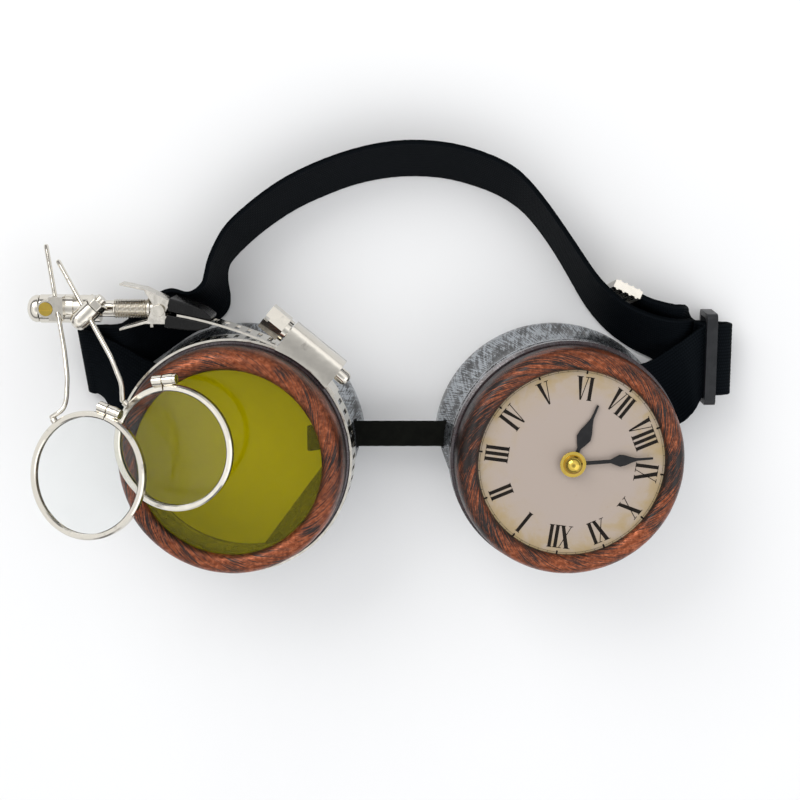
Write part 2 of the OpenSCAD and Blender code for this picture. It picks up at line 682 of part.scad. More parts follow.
module arm_rod() {
    turns = floor(thread_l / thread_step);
    color(nickel) home() arm_seat() {
        translate([0, 0, -socket_end]) cylinder(r = stub_r, h = socket_end - thread_end + 0.1);
        translate([0, 0, -thread_end]) rotate_extrude() polygon(concat([[0, 0]],
            [for (i = [0 : turns - 1]) each [[thread_r - 0.3, i * thread_step],
                [thread_r, (i + 0.5) * thread_step]]],
            [[thread_r - 0.3, turns * thread_step], [0, turns * thread_step]]));
        translate([0, 0, neck_from]) cylinder(r = rod_r, h = rod_end - neck_from);
    }
}

module arm_washer() {
    color(nickel) home() arm_seat() translate([0, 0, -thread_end - washer_t]) difference() {
        cylinder(r = 3, h = washer_t);
        translate([0, 0, -1]) cylinder(r = stub_r, h = 3);
    }
}

module arm_end_cap() {
    cap_r = 3.7;
    color(nickel) home() arm_seat() translate([0, 0, cap_from]) difference() {
        rotate_extrude() polygon([[0, 0], [cap_r - 0.3, 0], [cap_r, 0.3], [cap_r, 1.2],
            [cap_r - 0.35, 2.1], [cap_r - 1.1, 2.8], [cap_r - 2.2, 3.3], [0, 3.5]]);
        translate([0, 0, -1]) cylinder(r = rod_r, h = rod_end - cap_from + 1);
    }
}

// stems: straight through the cross-hole, bent towards the loupe
front_hole = [-91.7, 40.8, 22.9];
front_dir = unit([7.4, -25.2, 18]);
rear_hole = [-83.2, 39.2, 25.3];
rear_dir = unit([4.9, -6.9, 5.3]);
front_free = 19.5;
rear_free = 19;
front_bends = [front_hole + 12.8 * front_dir, [-87.3, 23.7, 34.4], [-87, 18.4, 38.2], [-87.6, 16, 40]];
rear_bends = [rear_hole + 15.5 * rear_dir, [-72.8, 22, 35.8]];

module wire(a, b, r) {
    v = b - a;
    translate(a) rotate([0, acos(v[2] / norm(v)), atan2(v[1], v[0])])
        cylinder(r = r, h = norm(v), $fn = 24);
}

module stem_wire(points, r) {
    for (i = [0 : len(points) - 2]) wire(points[i], points[i + 1], r);
    for (i = [1 : len(points) - 1]) translate(points[i]) sphere(r = r + 0.02, $fn = 24);
}

// loupe: tilt about X, tilt about Y, angle of the stem tab, angle of the clamp lugs
front_loupe = [[-80.6, 0, 46], -10, -20, 129, 74];
rear_loupe = [[-59.2, 6, 40.5], -2, -15.5, 140, 98];
tab_reach = loupe_r + 1.1;

module loupe_seat(spec) {
    translate(spec[0] + [arm_shift, 0, 0]) rotate([spec[1], spec[2], 0]) children();
}

function tilt_x(v, a) = [v[0], v[1] * cos(a) - v[2] * sin(a), v[1] * sin(a) + v[2] * cos(a)];
function tilt_y(v, a) = [v[0] * cos(a) + v[2] * sin(a), v[1], v[2] * cos(a) - v[0] * sin(a)];
function loupe_point(spec, r, turn) = spec[0]
    + tilt_y(tilt_x([r * cos(turn), r * sin(turn), 0], spec[1]), spec[2]);

module front_stem() {
    color(nickel) home() translate([arm_shift, 0, 0])
        stem_wire(concat([front_hole - front_free * front_dir], front_bends,
            [loupe_point(front_loupe, tab_reach + stem_d / 2, front_loupe[3])]), stem_d / 2);
}

module rear_stem() {
    color(nickel) home() translate([arm_shift, 0, 0])
        stem_wire(concat([rear_hole - rear_free * rear_dir], rear_bends,
            [loupe_point(rear_loupe, tab_reach + stem_d / 2, rear_loupe[3])]), stem_d / 2);
}

thumb_r = 1.85;

// frame of the boss of the front set screw, on the rod axis
module boss_seat() {
    translate([-94.35 + arm_shift, arm_y + 0.6, arm_z]) children();
}

// front collar: barrel on the rod, block for the stem, boss for the set screw
module front_collar() {
    color(nickel) home() difference() {
        union() {
            arm_seat() translate([0, 0, 87.6]) cylinder(r = 3.85, h = 9);
            translate([-93.6 + arm_shift, arm_y - 2.6, arm_z]) cube([3.8, 6.4, 5.6]);
            boss_seat() cylinder(r = 2.4, h = 5.6);
        }
        arm_seat() translate([0, 0, 80]) cylinder(r = rod_r + run_gap, h = 20);
        translate([arm_shift, 0, 0]) wire(front_hole - 12 * front_dir, front_hole + 12 * front_dir,
            stem_d / 2 + run_gap);
        boss_seat() translate([0, 0, 2.8]) cylinder(r = thumb_r + run_gap, h = 4);
    }
}

module set_screw(r, h) {
    difference() {
        cylinder(r = r, h = h);
        translate([0, 0, h]) cube([2 * r + 2, 0.6, 1], center = true);
    }
}

module front_set_screw() {
    color(brass) home() boss_seat() translate([0, 0, 3.1]) set_screw(thumb_r, 2.8);
}

bolt_turn = 44;
bolt_r = 1.5;

// frame of the pinch bolt: Z along the bolt, origin where the stem crosses it
module bolt_seat() {
    translate(rear_hole + [arm_shift, 0, 0]) rotate([0, 0, bolt_turn]) rotate([0, 90, 0]) children();
}

// rear collar: barrel on the rod with a lug for the drilled pinch bolt
module rear_collar() {
    color(nickel) home() difference() {
        union() {
            arm_seat() translate([0, 0, 80.6]) cylinder(r = 3.7, h = 6.7);
            bolt_seat() cylinder(r = 2.7, h = 5, center = true);
            translate([-85 + arm_shift, arm_y - 1.5, arm_z]) cube([3, 3, 5]);
        }
        arm_seat() translate([0, 0, 70]) cylinder(r = rod_r + run_gap, h = 30);
        bolt_seat() cylinder(r = bolt_r, h = 20, center = true);
        translate([arm_shift, 0, 0]) wire(rear_hole - 12 * rear_dir, rear_hole + 12 * rear_dir,
            stem_d / 2 + run_gap);
        translate([-81.9 + arm_shift, arm_y, arm_z - 6]) cylinder(r = 1.1, h = 4);
    }
}

module rear_set_screw() {
    color(brass) home() translate([-81.9 + arm_shift, arm_y, arm_z - 2.5]) rotate([180, 0, 0])
        set_screw(1.1, 2.6);
}

module pinch_bolt() {
    color(nickel) home() difference() {
        bolt_seat() {
            translate([0, 0, -3.2]) cylinder(r = bolt_r, h = 9.2);
            translate([0, 0, -2.5]) mirror([0, 0, 1]) rotate_extrude()
                polygon([[0, 0], [2.6, 0], [2.6, 0.8], [2.2, 1.7], [1.3, 2.3], [0, 2.5]]);
        }
        translate([arm_shift, 0, 0]) wire(rear_hole - 12 * rear_dir, rear_hole + 12 * rear_dir,
            stem_d / 2 + run_gap);
    }
}

module pinch_nut() {
    color(nickel) home() bolt_seat() translate([0, 0, 2.6]) difference() {
        rotate([0, 0, 30]) cylinder(r = 2.85, h = 2.2, $fn = 6);
        translate([0, 0, -1]) cylinder(r = bolt_r, h = 4);
    }
}

// loupe ring: grooved rim, tab for the stem, split lugs for the screw
lug_r = 1.5;
lug_l = 5.6;
lug_at = loupe_r + 1.2;
screw_r = 0.8;
glass_r = loupe_r - 1;

module loupe_ring(spec) {
    half = loupe_t / 2;
    loupe_seat(spec) difference() {
        union() {
            rotate_extrude($fn = 96) polygon([[loupe_r - 1.6, -half + 0.3], [loupe_r - 1.3, -half],
                [loupe_r - 0.4, -half], [loupe_r, -half + 0.4], [loupe_r, half - 0.4],
                [loupe_r - 0.4, half], [loupe_r - 1.3, half], [loupe_r - 1.6, half - 0.3],
                [loupe_r - 1.6, 0.55], [glass_r, 0.55], [glass_r, -0.55], [loupe_r - 1.6, -0.55]]);
            rotate([0, 0, spec[3]]) translate([loupe_r - 0.4, 0, 0]) rotate([0, 90, 0])
                cylinder(r = 0.9, h = tab_reach - loupe_r + 0.4, $fn = 32);
            rotate([0, 0, spec[4]]) translate([lug_at, 0, 0]) rotate([90, 0, 0])
                cylinder(r = lug_r, h = lug_l, center = true, $fn = 32);
        }
        rotate([0, 0, spec[4]]) translate([lug_at, 0, 0]) rotate([90, 0, 0])
            cylinder(r = screw_r, h = lug_l + 4, center = true, $fn = 24);
        rotate([0, 0, spec[4]]) translate([loupe_r - 2.5, -0.2, -3]) cube([6, 0.4, 6]);
    }
}

module loupe_glass(spec) {
    r = glass_r - run_gap;
    edge = 0.5;
    bulge = 0.8;
    loupe_seat(spec) rotate_extrude($fn = 96) polygon([[0, -edge - bulge],
        [r * 0.3, -edge - bulge * 0.91], [r * 0.55, -edge - bulge * 0.7],
        [r * 0.8, -edge - bulge * 0.36], [loupe_r - 1.75, -edge],
        [r, -edge], [r, edge], [loupe_r - 1.75, edge], [r * 0.8, edge + bulge * 0.36],
        [r * 0.55, edge + bulge * 0.7], [r * 0.3, edge + bulge * 0.91], [0, edge + bulge]]);
}

module loupe_screw(spec) {
    loupe_seat(spec) rotate([0, 0, spec[4]]) translate([lug_at, 0, 0]) rotate([90, 0, 0])
        difference() {
        union() {
            translate([0, 0, -lug_l / 2 - 0.4]) cylinder(r = screw_r, h = lug_l + 0.6, $fn = 24);
            translate([0, 0, lug_l / 2]) cylinder(r = 1.35, h = 0.9, $fn = 32);
        }
        translate([0, 0, lug_l / 2 + 0.9]) cube([4, 0.4, 0.8], center = true);
    }
}

module front_loupe_ring() {
    color(nickel) home() loupe_ring(front_loupe);
}

module rear_loupe_ring() {
    color(nickel) home() loupe_ring(rear_loupe);
}

module front_loupe_glass() {
    color([0.85, 0.9, 0.88, 0.4]) home() loupe_glass(front_loupe);
}

module rear_loupe_glass() {
    color([0.85, 0.9, 0.88, 0.4]) home() loupe_glass(rear_loupe);
}

module front_loupe_screw() {
    color(nickel) home() loupe_screw(front_loupe);
}

module rear_loupe_screw() {
    color(nickel) home() loupe_screw(rear_loupe);
}

tinted_eyecup();
clock_eyecup();
tinted_front_ring();
clock_front_ring();
tinted_lens();
dial_disc();
dial_card();
hour_hand();
minute_hand();
hands_pin();
nose_bridge();
head_strap();
adjuster_strap();
strap_slider();
strap_end_crimp();
clamp_band();
clamp_housing();
clamp_screw();
clip_fixed_jaw();
clip_moving_jaw();
clip_pin();
clip_spring();
fixed_jaw_sleeve();
moving_jaw_sleeve();
arm_rod();
arm_washer();
arm_end_cap();
front_collar();
front_set_screw();
rear_collar();
rear_set_screw();
pinch_bolt();
pinch_nut();
front_stem();
rear_stem();
front_loupe_ring();
rear_loupe_ring();
front_loupe_glass();
rear_loupe_glass();
front_loupe_screw();
rear_loupe_screw();
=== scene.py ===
"""Looks of the steampunk goggles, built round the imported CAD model. Lengths in the helpers are millimetres."""
import bpy
import bmesh
import json
import math
import numpy as np
from mathutils import Matrix, Vector

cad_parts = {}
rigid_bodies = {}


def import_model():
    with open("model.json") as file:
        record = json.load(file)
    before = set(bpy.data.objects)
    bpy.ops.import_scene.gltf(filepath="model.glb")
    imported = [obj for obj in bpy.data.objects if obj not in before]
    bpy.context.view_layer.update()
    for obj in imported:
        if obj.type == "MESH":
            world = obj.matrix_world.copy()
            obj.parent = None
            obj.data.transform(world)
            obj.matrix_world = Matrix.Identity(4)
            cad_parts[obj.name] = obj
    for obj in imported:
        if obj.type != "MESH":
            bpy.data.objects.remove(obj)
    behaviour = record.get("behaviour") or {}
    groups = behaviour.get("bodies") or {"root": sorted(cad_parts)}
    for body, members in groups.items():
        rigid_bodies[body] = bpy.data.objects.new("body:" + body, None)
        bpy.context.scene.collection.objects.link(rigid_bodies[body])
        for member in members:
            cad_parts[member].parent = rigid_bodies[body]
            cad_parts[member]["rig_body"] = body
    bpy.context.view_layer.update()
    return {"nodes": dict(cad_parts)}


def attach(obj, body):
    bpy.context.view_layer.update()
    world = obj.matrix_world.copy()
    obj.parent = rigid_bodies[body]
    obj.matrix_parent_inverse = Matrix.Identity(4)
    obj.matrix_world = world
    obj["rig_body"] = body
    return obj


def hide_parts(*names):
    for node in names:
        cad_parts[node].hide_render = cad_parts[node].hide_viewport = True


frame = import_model()

MIDDLE = np.array([-4.1, 26.3, 0.0])
TINTED, CLOCK = -1, 1
SPLAY = math.radians(5)
CUP_X = 43.0
NECK_TOP = 30.2
RING_LOW, RING_HIGH = 25.5, 34.5
ARM_Y, ARM_Z = 39.7, 19.0


# ---------------------------------------------------------------- places
def home(points):
    """Working millimetres to the row frame's metres: take the middle of the base away, then divide by a thousand."""
    return (np.asarray(points, float) - MIDDLE) / 1000


def in_cup(side, points):
    """A point in an eyecup's own frame, leaned outward about Y by the splay and moved to the eyecup's centre."""
    p, a = np.asarray(points, float), SPLAY * side
    x = p[..., 0] * math.cos(a) + p[..., 2] * math.sin(a) + side * CUP_X
    z = p[..., 2] * math.cos(a) - p[..., 0] * math.sin(a)
    return np.stack([x, p[..., 1], z], -1)


def in_loupe(centre, tilt_x, tilt_y, points):
    """A point in a loupe's own frame, tilted about X, then about Y, then moved to the loupe's centre."""
    p, a, b = np.asarray(points, float), math.radians(tilt_x), math.radians(tilt_y)
    y = p[..., 1] * math.cos(a) - p[..., 2] * math.sin(a)
    z = p[..., 1] * math.sin(a) + p[..., 2] * math.cos(a)
    x = p[..., 0] * math.cos(b) + z * math.sin(b)
    z = z * math.cos(b) - p[..., 0] * math.sin(b)
    return np.stack([x, y, z], -1) + np.asarray(centre, float)


def unit(v):
    v = np.asarray(v, float)
    return v / np.linalg.norm(v, axis=-1, keepdims=True)


# ---------------------------------------------------------------- meshes
def mesh_from(name, points, quads, uv=None):
    """A mesh from whole arrays: points in metres, quads of four corners each, uv per corner of each quad."""
    points, quads = np.asarray(points, float).reshape(-1, 3), np.asarray(quads, int)
    tri = np.concatenate([quads[:, [0, 1, 2]], quads[:, [0, 2, 3]]])
    a, b, c = points[tri[:, 0]], points[tri[:, 1]], points[tri[:, 2]]
    if np.einsum("ij,ij->i", a, np.cross(b, c)).sum() < 0:
        quads = quads[:, ::-1]
        uv = None if uv is None else uv[:, ::-1]
    mesh = bpy.data.meshes.new(name)
    mesh.vertices.add(len(points))
    mesh.vertices.foreach_set("co", points.astype(np.float32).ravel())
    mesh.loops.add(quads.size)
    mesh.loops.foreach_set("vertex_index", quads.astype(np.int32).ravel())
    mesh.polygons.add(len(quads))
    mesh.polygons.foreach_set("loop_start", np.arange(0, quads.size, 4, dtype=np.int32))
    mesh.polygons.foreach_set("loop_total", np.full(len(quads), 4, np.int32))
    if uv is not None:
        layer = mesh.uv_layers.new(name="UVMap")
        layer.data.foreach_set("uv", uv.astype(np.float32).ravel())
    mesh.update(calc_edges=True)
    mesh.validate()
    return mesh


def grid(shape, loop_u=False, loop_v=False):
    """Quads of a grid of rows and columns, joined round where a direction is closed."""
    nu, nv = shape
    i, j = np.meshgrid(np.arange(nu if loop_u else nu - 1), np.arange(nv if loop_v else nv - 1), indexing="ij")
    i, j = i.ravel(), j.ravel()
    i1, j1 = (i + 1) % nu, (j + 1) % nv
    quads = np.stack([i * nv + j, i1 * nv + j, i1 * nv + j1, i * nv + j1], 1)
    uv = np.stack([np.stack([i, j], 1), np.stack([i + 1, j], 1), np.stack([i + 1, j + 1], 1),
                   np.stack([i, j + 1], 1)], 1).astype(float)
    return quads, uv


def piece(name, mesh, material, body, stands_for=(), smooth=40.0, weld=0.0):
    """A finished object at the origin that rides on a body; edges sharper than smooth degrees stay sharp."""
    if weld:
        bm = bmesh.new()
        bm.from_mesh(mesh)
        bmesh.ops.remove_doubles(bm, verts=bm.verts, dist=weld / 1000)
        bmesh.ops.dissolve_degenerate(bm, edges=bm.edges, dist=weld / 2000)
        bmesh.ops.recalc_face_normals(bm, faces=bm.faces)
        bm.to_mesh(mesh)
        bm.free()
    mesh.polygons.foreach_set("use_smooth", np.ones(len(mesh.polygons), bool))
    mesh.set_sharp_from_angle(angle=math.radians(smooth))
    mesh.materials.clear()
    mesh.materials.append(material)
    obj = bpy.data.objects.new(name, mesh)
    bpy.context.scene.collection.objects.link(obj)
    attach(obj, body)
    if stands_for:
        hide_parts(*stands_for)
    return obj


def filleted(profile, radius, steps=4, closed=True):
    """A polygon with each corner swapped for a parabola arc that starts and ends radius from the corner, less on short sides."""
    p = np.asarray(profile, float)
    radius = np.broadcast_to(np.asarray(radius, float), (len(p),))
    t = np.linspace(0, 1, steps + 1)[:, None]
    made = []
    for k in range(len(p)):
        if not closed and k in (0, len(p) - 1):
            made.append(p[k:k + 1])
            continue
        before, here, after = p[k - 1], p[k], p[(k + 1) % len(p)]
        la, lb = np.linalg.norm(before - here), np.linalg.norm(after - here)
        a = here + (before - here) / la * min(radius[k], 0.48 * la)
        b = here + (after - here) / lb * min(radius[k], 0.48 * lb)
        made.append((1 - t) ** 2 * a + 2 * t * (1 - t) * here + t ** 2 * b)
    return np.concatenate(made)


def turned(profile, seat, segments=192, closed=True, wave=None):
    """A profile of radius and height carried round the axis: x = r cos turn, y = r sin turn, z = height.
    wave(turn, radius, height) gives a small change of radius."""
    p = np.asarray(profile, float)
    turn = np.linspace(0, 2 * math.pi, segments, endpoint=False)[:, None]
    r, z = np.broadcast_to(p[:, 0], (segments, len(p))), np.broadcast_to(p[:, 1], (segments, len(p)))
    if wave is not None:
        r = r + wave(turn, r, z)
    points = np.stack([r * np.cos(turn), r * np.sin(turn), z], -1)
    along = np.concatenate([[0], np.cumsum(np.linalg.norm(np.roll(p, -1, 0) - p, axis=1))])
    quads, uv = grid((segments, len(p)), True, closed)
    uv = np.stack([uv[..., 0] / segments, along[uv[..., 1].astype(int)] / along[-1]], -1)
    return home(seat(points)).reshape(-1, 3), quads, uv


def tube(path, radius, sides=20, taper=None, ref=(1, 0, 0), cap_rows=4):
    """A round wire: circles of the radius, square to the path, with both ends closed by a quarter circle of shrinking rows."""
    p = np.asarray(path, float)
    along = unit(np.gradient(p, axis=0))
    n = len(p)
    r = np.full(n, float(radius)) if taper is None else np.asarray(taper, float)
    q = np.linspace(0, math.pi / 2, cap_rows + 1)[1:]
    head = p[0] - along[0] * (r[0] * np.sin(q))[::-1, None]
    tail = p[-1] + along[-1] * (r[-1] * np.sin(q))[:, None]
    centres = np.concatenate([head, p, tail])
    radii = np.concatenate([(r[0] * np.cos(q))[::-1], r, r[-1] * np.cos(q)])
    dirs = np.concatenate([np.repeat(along[:1], cap_rows, 0), along, np.repeat(along[-1:], cap_rows, 0)])
    side = unit(np.cross(dirs, np.asarray(ref, float)))
    up = np.cross(side, dirs)
    turn = np.linspace(0, 2 * math.pi, sides, endpoint=False)
    ring = side[:, None] * np.cos(turn)[None, :, None] + up[:, None] * np.sin(turn)[None, :, None]
    points = centres[:, None] + ring * radii[:, None, None]
    quads, uv = grid((len(centres), sides), False, True)
    return home(points).reshape(-1, 3), quads, uv / np.array([len(centres), sides])


def softened(node, material, width=0.15, segments=2, angle=32.0, smooth=34.0, body=None):
    """A welded copy of a CAD node with its flat faces joined and its sharp edges broken by a small bevel."""
    mesh = frame["nodes"][node].data.copy()
    mesh.name = node + "_soft"
    for extra in [a.name for a in mesh.attributes if a.name == "custom_normal"]:
        mesh.attributes.remove(mesh.attributes[extra])
    bm = bmesh.new()
    bm.from_mesh(mesh)
    bmesh.ops.remove_doubles(bm, verts=bm.verts, dist=2e-6)
    bmesh.ops.dissolve_limit(bm, angle_limit=math.radians(0.8), verts=bm.verts, edges=bm.edges)
    bm.to_mesh(mesh)
    bm.free()
    home_body = body or frame["nodes"][node]["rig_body"]
    obj = piece(node + "_finish", mesh, material, home_body, (node,), smooth)
    if width:
        bevel = obj.modifiers.new("broken_edges", "BEVEL")
        bevel.width = width / 1000
        bevel.segments = segments
        bevel.limit_method = "ANGLE"
        bevel.angle_limit = math.radians(angle)
        bevel.miter_outer = "MITER_ARC"
        bevel.use_clamp_overlap = True
        bevel.harden_normals = True
    return obj


# ---------------------------------------------------------------- shader groups
def put(tree, kind, inputs=None, out=0, **settings):
    """A node with its settings; each input is a value or another node's socket. Gives the output socket."""
    node = tree.nodes.new(kind)
    for key, value in settings.items():
        setattr(node, key, value)
    for key, value in (inputs or {}).items():
        socket = node.inputs[key]
        if isinstance(value, bpy.types.NodeSocket):
            tree.links.new(value, socket)
        else:
            socket.default_value = value
    return node.outputs[out]


def math_node(tree, operation, a, b=0.0, c=0.0, clamp=False):
    return put(tree, "ShaderNodeMath", {0: a, 1: b, 2: c}, operation=operation, use_clamp=clamp)


def mixed(tree, factor, a, b):
    """Colour a where the factor is 0 and colour b where it is 1."""
    return put(tree, "ShaderNodeMix", {0: factor, 6: a, 7: b}, out=2, data_type="RGBA")


def levels(tree, value, low, high, to_low=0.0, to_high=1.0):
    return put(tree, "ShaderNodeMapRange", {0: value, 1: low, 2: high, 3: to_low, 4: to_high},
               interpolation_type="SMOOTHSTEP")


def ramp(tree, value, stops):
    node = tree.nodes.new("ShaderNodeValToRGB")
    elements = node.color_ramp.elements
    while len(elements) < len(stops):
        elements.new(0.5)
    for element, (at, colour) in zip(elements, stops):
        element.position = at
        element.color = (*colour, 1)
    tree.links.new(value, node.inputs[0])
    return node.outputs[0]


def new_group(name, inputs, outputs):
    tree = bpy.data.node_groups.new(name, "ShaderNodeTree")
    for label, kind, value in inputs:
        socket = tree.interface.new_socket(name=label, in_out="INPUT", socket_type=kind)
        if value is not None:
            socket.default_value = value
    for label, kind in outputs:
        tree.interface.new_socket(name=label, in_out="OUTPUT", socket_type=kind)
    return tree, tree.nodes.new("NodeGroupInput").outputs, tree.nodes.new("NodeGroupOutput").inputs


def use(tree, group, **values):
    """A shared effect placed in a material with its own values."""
    node = tree.nodes.new("ShaderNodeGroup")
    node.node_tree = group
    for key, value in values.items():
        socket = node.inputs[key.replace("_", " ")]
        if isinstance(value, bpy.types.NodeSocket):
            tree.links.new(value, socket)
        else:
            socket.default_value = value
    return node.outputs


def build_round_strokes():
    """Brush strokes on a turned piece. The point goes to millimetres round the axis. Its way along the profile is height
    less radius or, on a rolled edge, the turn round the edge's core times 5 mm. The turn round the axis is slanted by that
    way, and noise is drawn out along the slanted line, so there is no seam."""
    tree, given, out = new_group("round_strokes", [
        ("Vector", "NodeSocketVector", None), ("Rolled", "NodeSocketFloat", 0.0), ("Slant", "NodeSocketFloat", 0.03),
        ("Fineness", "NodeSocketFloat", 1.0), ("Stretch", "NodeSocketFloat", 0.2), ("Seed", "NodeSocketFloat", 0.0)],
        [("Strokes", "NodeSocketFloat"), ("Patches", "NodeSocketFloat"), ("Way", "NodeSocketFloat"), ("Height", "NodeSocketFloat")])
    parts = put(tree, "ShaderNodeSeparateXYZ", {0: given["Vector"]}).node.outputs
    radius = math_node(tree, "SQRT", math_node(tree, "ADD", math_node(tree, "MULTIPLY", parts[0], parts[0]),
                                               math_node(tree, "MULTIPLY", parts[1], parts[1])))
    straight = math_node(tree, "SUBTRACT", parts[2], radius)
    rolled = math_node(tree, "MULTIPLY", math_node(tree, "ARCTAN2", math_node(tree, "SUBTRACT", parts[2], 29.6),
                                                   math_node(tree, "SUBTRACT", radius, 27.6)), 5.0)
    way = put(tree, "ShaderNodeMix", {0: given["Rolled"], 2: straight, 3: rolled}, data_type="FLOAT")
    turn = math_node(tree, "ADD", math_node(tree, "ARCTAN2", parts[1], parts[0]), math_node(tree, "MULTIPLY", way, given["Slant"]))
    reach = math_node(tree, "MULTIPLY", 30.0, given["Fineness"])
    across = put(tree, "ShaderNodeCombineXYZ", {
        0: math_node(tree, "MULTIPLY", math_node(tree, "COSINE", turn), reach),
        1: math_node(tree, "MULTIPLY", math_node(tree, "SINE", turn), reach),
        2: math_node(tree, "ADD", math_node(tree, "MULTIPLY", way, given["Stretch"]), given["Seed"])})
    noise = put(tree, "ShaderNodeTexNoise", {"Vector": across, "Scale": 1.0, "Detail": 3.0, "Roughness": 0.6})
    patches = put(tree, "ShaderNodeTexNoise", {"Vector": given["Vector"], "Scale": 0.13, "Detail": 2.0})
    tree.links.new(noise, out["Strokes"])
    tree.links.new(patches, out["Patches"])
    tree.links.new(way, out["Way"])
    tree.links.new(parts[2], out["Height"])
    return tree


def build_fine_grain():
    """Small unevenness of a metal or plastic surface: fine noise, soft smudges and a few scratches stretched one way."""
    tree, given, out = new_group("fine_grain", [
        ("Vector", "NodeSocketVector", None), ("Size", "NodeSocketFloat", 1.0), ("Low", "NodeSocketFloat", 0.15),
        ("High", "NodeSocketFloat", 0.3)], [("Roughness", "NodeSocketFloat"), ("Height", "NodeSocketFloat"), ("Smudge", "NodeSocketFloat")])
    fine = put(tree, "ShaderNodeTexNoise", {"Vector": given["Vector"], "Scale": math_node(tree, "MULTIPLY", given["Size"], 2.2),
                                            "Detail": 5.0, "Roughness": 0.7})
    smudge = put(tree, "ShaderNodeTexNoise", {"Vector": given["Vector"], "Scale": math_node(tree, "MULTIPLY", given["Size"], 0.35),
                                              "Detail": 3.0, "Distortion": 0.6})
    stretched = put(tree, "ShaderNodeVectorMath", {0: given["Vector"], 1: (9.0, 0.5, 2.5)}, operation="MULTIPLY")
    scratch = put(tree, "ShaderNodeTexNoise", {"Vector": stretched, "Scale": given["Size"], "Detail": 2.0})
    blend = math_node(tree, "ADD", math_node(tree, "MULTIPLY", levels(tree, smudge, 0.35, 0.7), 0.7),
                      math_node(tree, "MULTIPLY", levels(tree, scratch, 0.55, 0.75), 0.3))
    rough = put(tree, "ShaderNodeMapRange", {0: blend, 1: 0.0, 2: 1.0, 3: given["Low"], 4: given["High"]})
    tree.links.new(rough, out["Roughness"])
    tree.links.new(math_node(tree, "ADD", math_node(tree, "MULTIPLY", fine, 0.5), math_node(tree, "MULTIPLY", scratch, 0.5)), out["Height"])
    tree.links.new(smudge, out["Smudge"])
    return tree


def build_weave():
    """Woven elastic from the piece's own UV in millimetres: picks across the strap, offset every other cord."""
    tree, given, out = new_group("weave", [("Vector", "NodeSocketVector", None), ("Cords", "NodeSocketFloat", 1.0),
                                           ("Picks", "NodeSocketFloat", 1.6)],
                                 [("Height", "NodeSocketFloat"), ("Shade", "NodeSocketFloat")])
    parts = put(tree, "ShaderNodeSeparateXYZ", {0: given["Vector"]}).node.outputs
    cord = math_node(tree, "MULTIPLY", parts[1], given["Cords"])
    shift = math_node(tree, "MULTIPLY", math_node(tree, "MODULO", math_node(tree, "FLOOR", cord), 2.0), 0.5)
    pick = math_node(tree, "ADD", math_node(tree, "MULTIPLY", parts[0], given["Picks"]), shift)
    wave_a = math_node(tree, "ABSOLUTE", math_node(tree, "SINE", math_node(tree, "MULTIPLY", cord, math.pi)))
    wave_b = math_node(tree, "ABSOLUTE", math_node(tree, "SINE", math_node(tree, "MULTIPLY", pick, math.pi)))
    height = math_node(tree, "MULTIPLY", math_node(tree, "POWER", wave_a, 0.6), math_node(tree, "POWER", wave_b, 0.6))
    fuzz = put(tree, "ShaderNodeTexNoise", {"Vector": given["Vector"], "Scale": 3.0, "Detail": 4.0})
    tree.links.new(math_node(tree, "ADD", height, math_node(tree, "MULTIPLY", fuzz, 0.35)), out["Height"])
    tree.links.new(math_node(tree, "MULTIPLY", height, math_node(tree, "ADD", fuzz, 0.5)), out["Shade"])
    return tree


def build_dust():
    """Sparse pale specks: small cells of which only the brightest few per cent show."""
    tree, given, out = new_group("dust", [("Vector", "NodeSocketVector", None), ("Share", "NodeSocketFloat", 0.04),
                                          ("Cell", "NodeSocketFloat", 1.6)], [("Mask", "NodeSocketFloat")])
    cells = put(tree, "ShaderNodeTexVoronoi", {"Vector": given["Vector"], "Scale": given["Cell"]}).node.outputs
    near = levels(tree, cells["Distance"], 0.12, 0.02)
    rare = math_node(tree, "LESS_THAN", put(tree, "ShaderNodeSeparateXYZ", {0: cells["Color"]}), given["Share"])
    tree.links.new(math_node(tree, "MULTIPLY", near, rare), out["Mask"])
    return tree


ROUND_STROKES, FINE_GRAIN, WEAVE, DUST = build_round_strokes(), build_fine_grain(), build_weave(), build_dust()


# ---------------------------------------------------------------- materials
def material(name, **constants):
    """A Principled material with constants on its own sockets. Gives the material, its tree, the shader and the
    point in row millimetres."""
    made = bpy.data.materials.new(name)
    made.use_nodes = True
    tree = made.node_tree
    shader = tree.nodes["Principled BSDF"]
    for key, value in constants.items():
        shader.inputs[key.replace("_", " ")].default_value = value
    where = put(tree, "ShaderNodeTexCoord", out=3)
    scaled = put(tree, "ShaderNodeMapping", {"Vector": where, "Scale": (1000, 1000, 1000)})
    return made, tree, shader, scaled


def bump(tree, shader, height, strength, distance):
    tree.links.new(put(tree, "ShaderNodeBump", {"Height": height, "Strength": strength, "Distance": distance / 1000}),
                   shader.inputs["Normal"])


def in_cup_frame(tree, scaled, side):
    """The material's point moved and turned into an eyecup's own frame, in millimetres."""
    centre = home([side * CUP_X, 0, 0]) * 1000
    moved = put(tree, "ShaderNodeVectorMath", {0: scaled, 1: tuple(centre)}, operation="SUBTRACT")
    return put(tree, "ShaderNodeVectorRotate", {"Vector": moved, "Axis": (0, 1, 0), "Angle": -SPLAY * side}, rotation_type="AXIS_ANGLE")


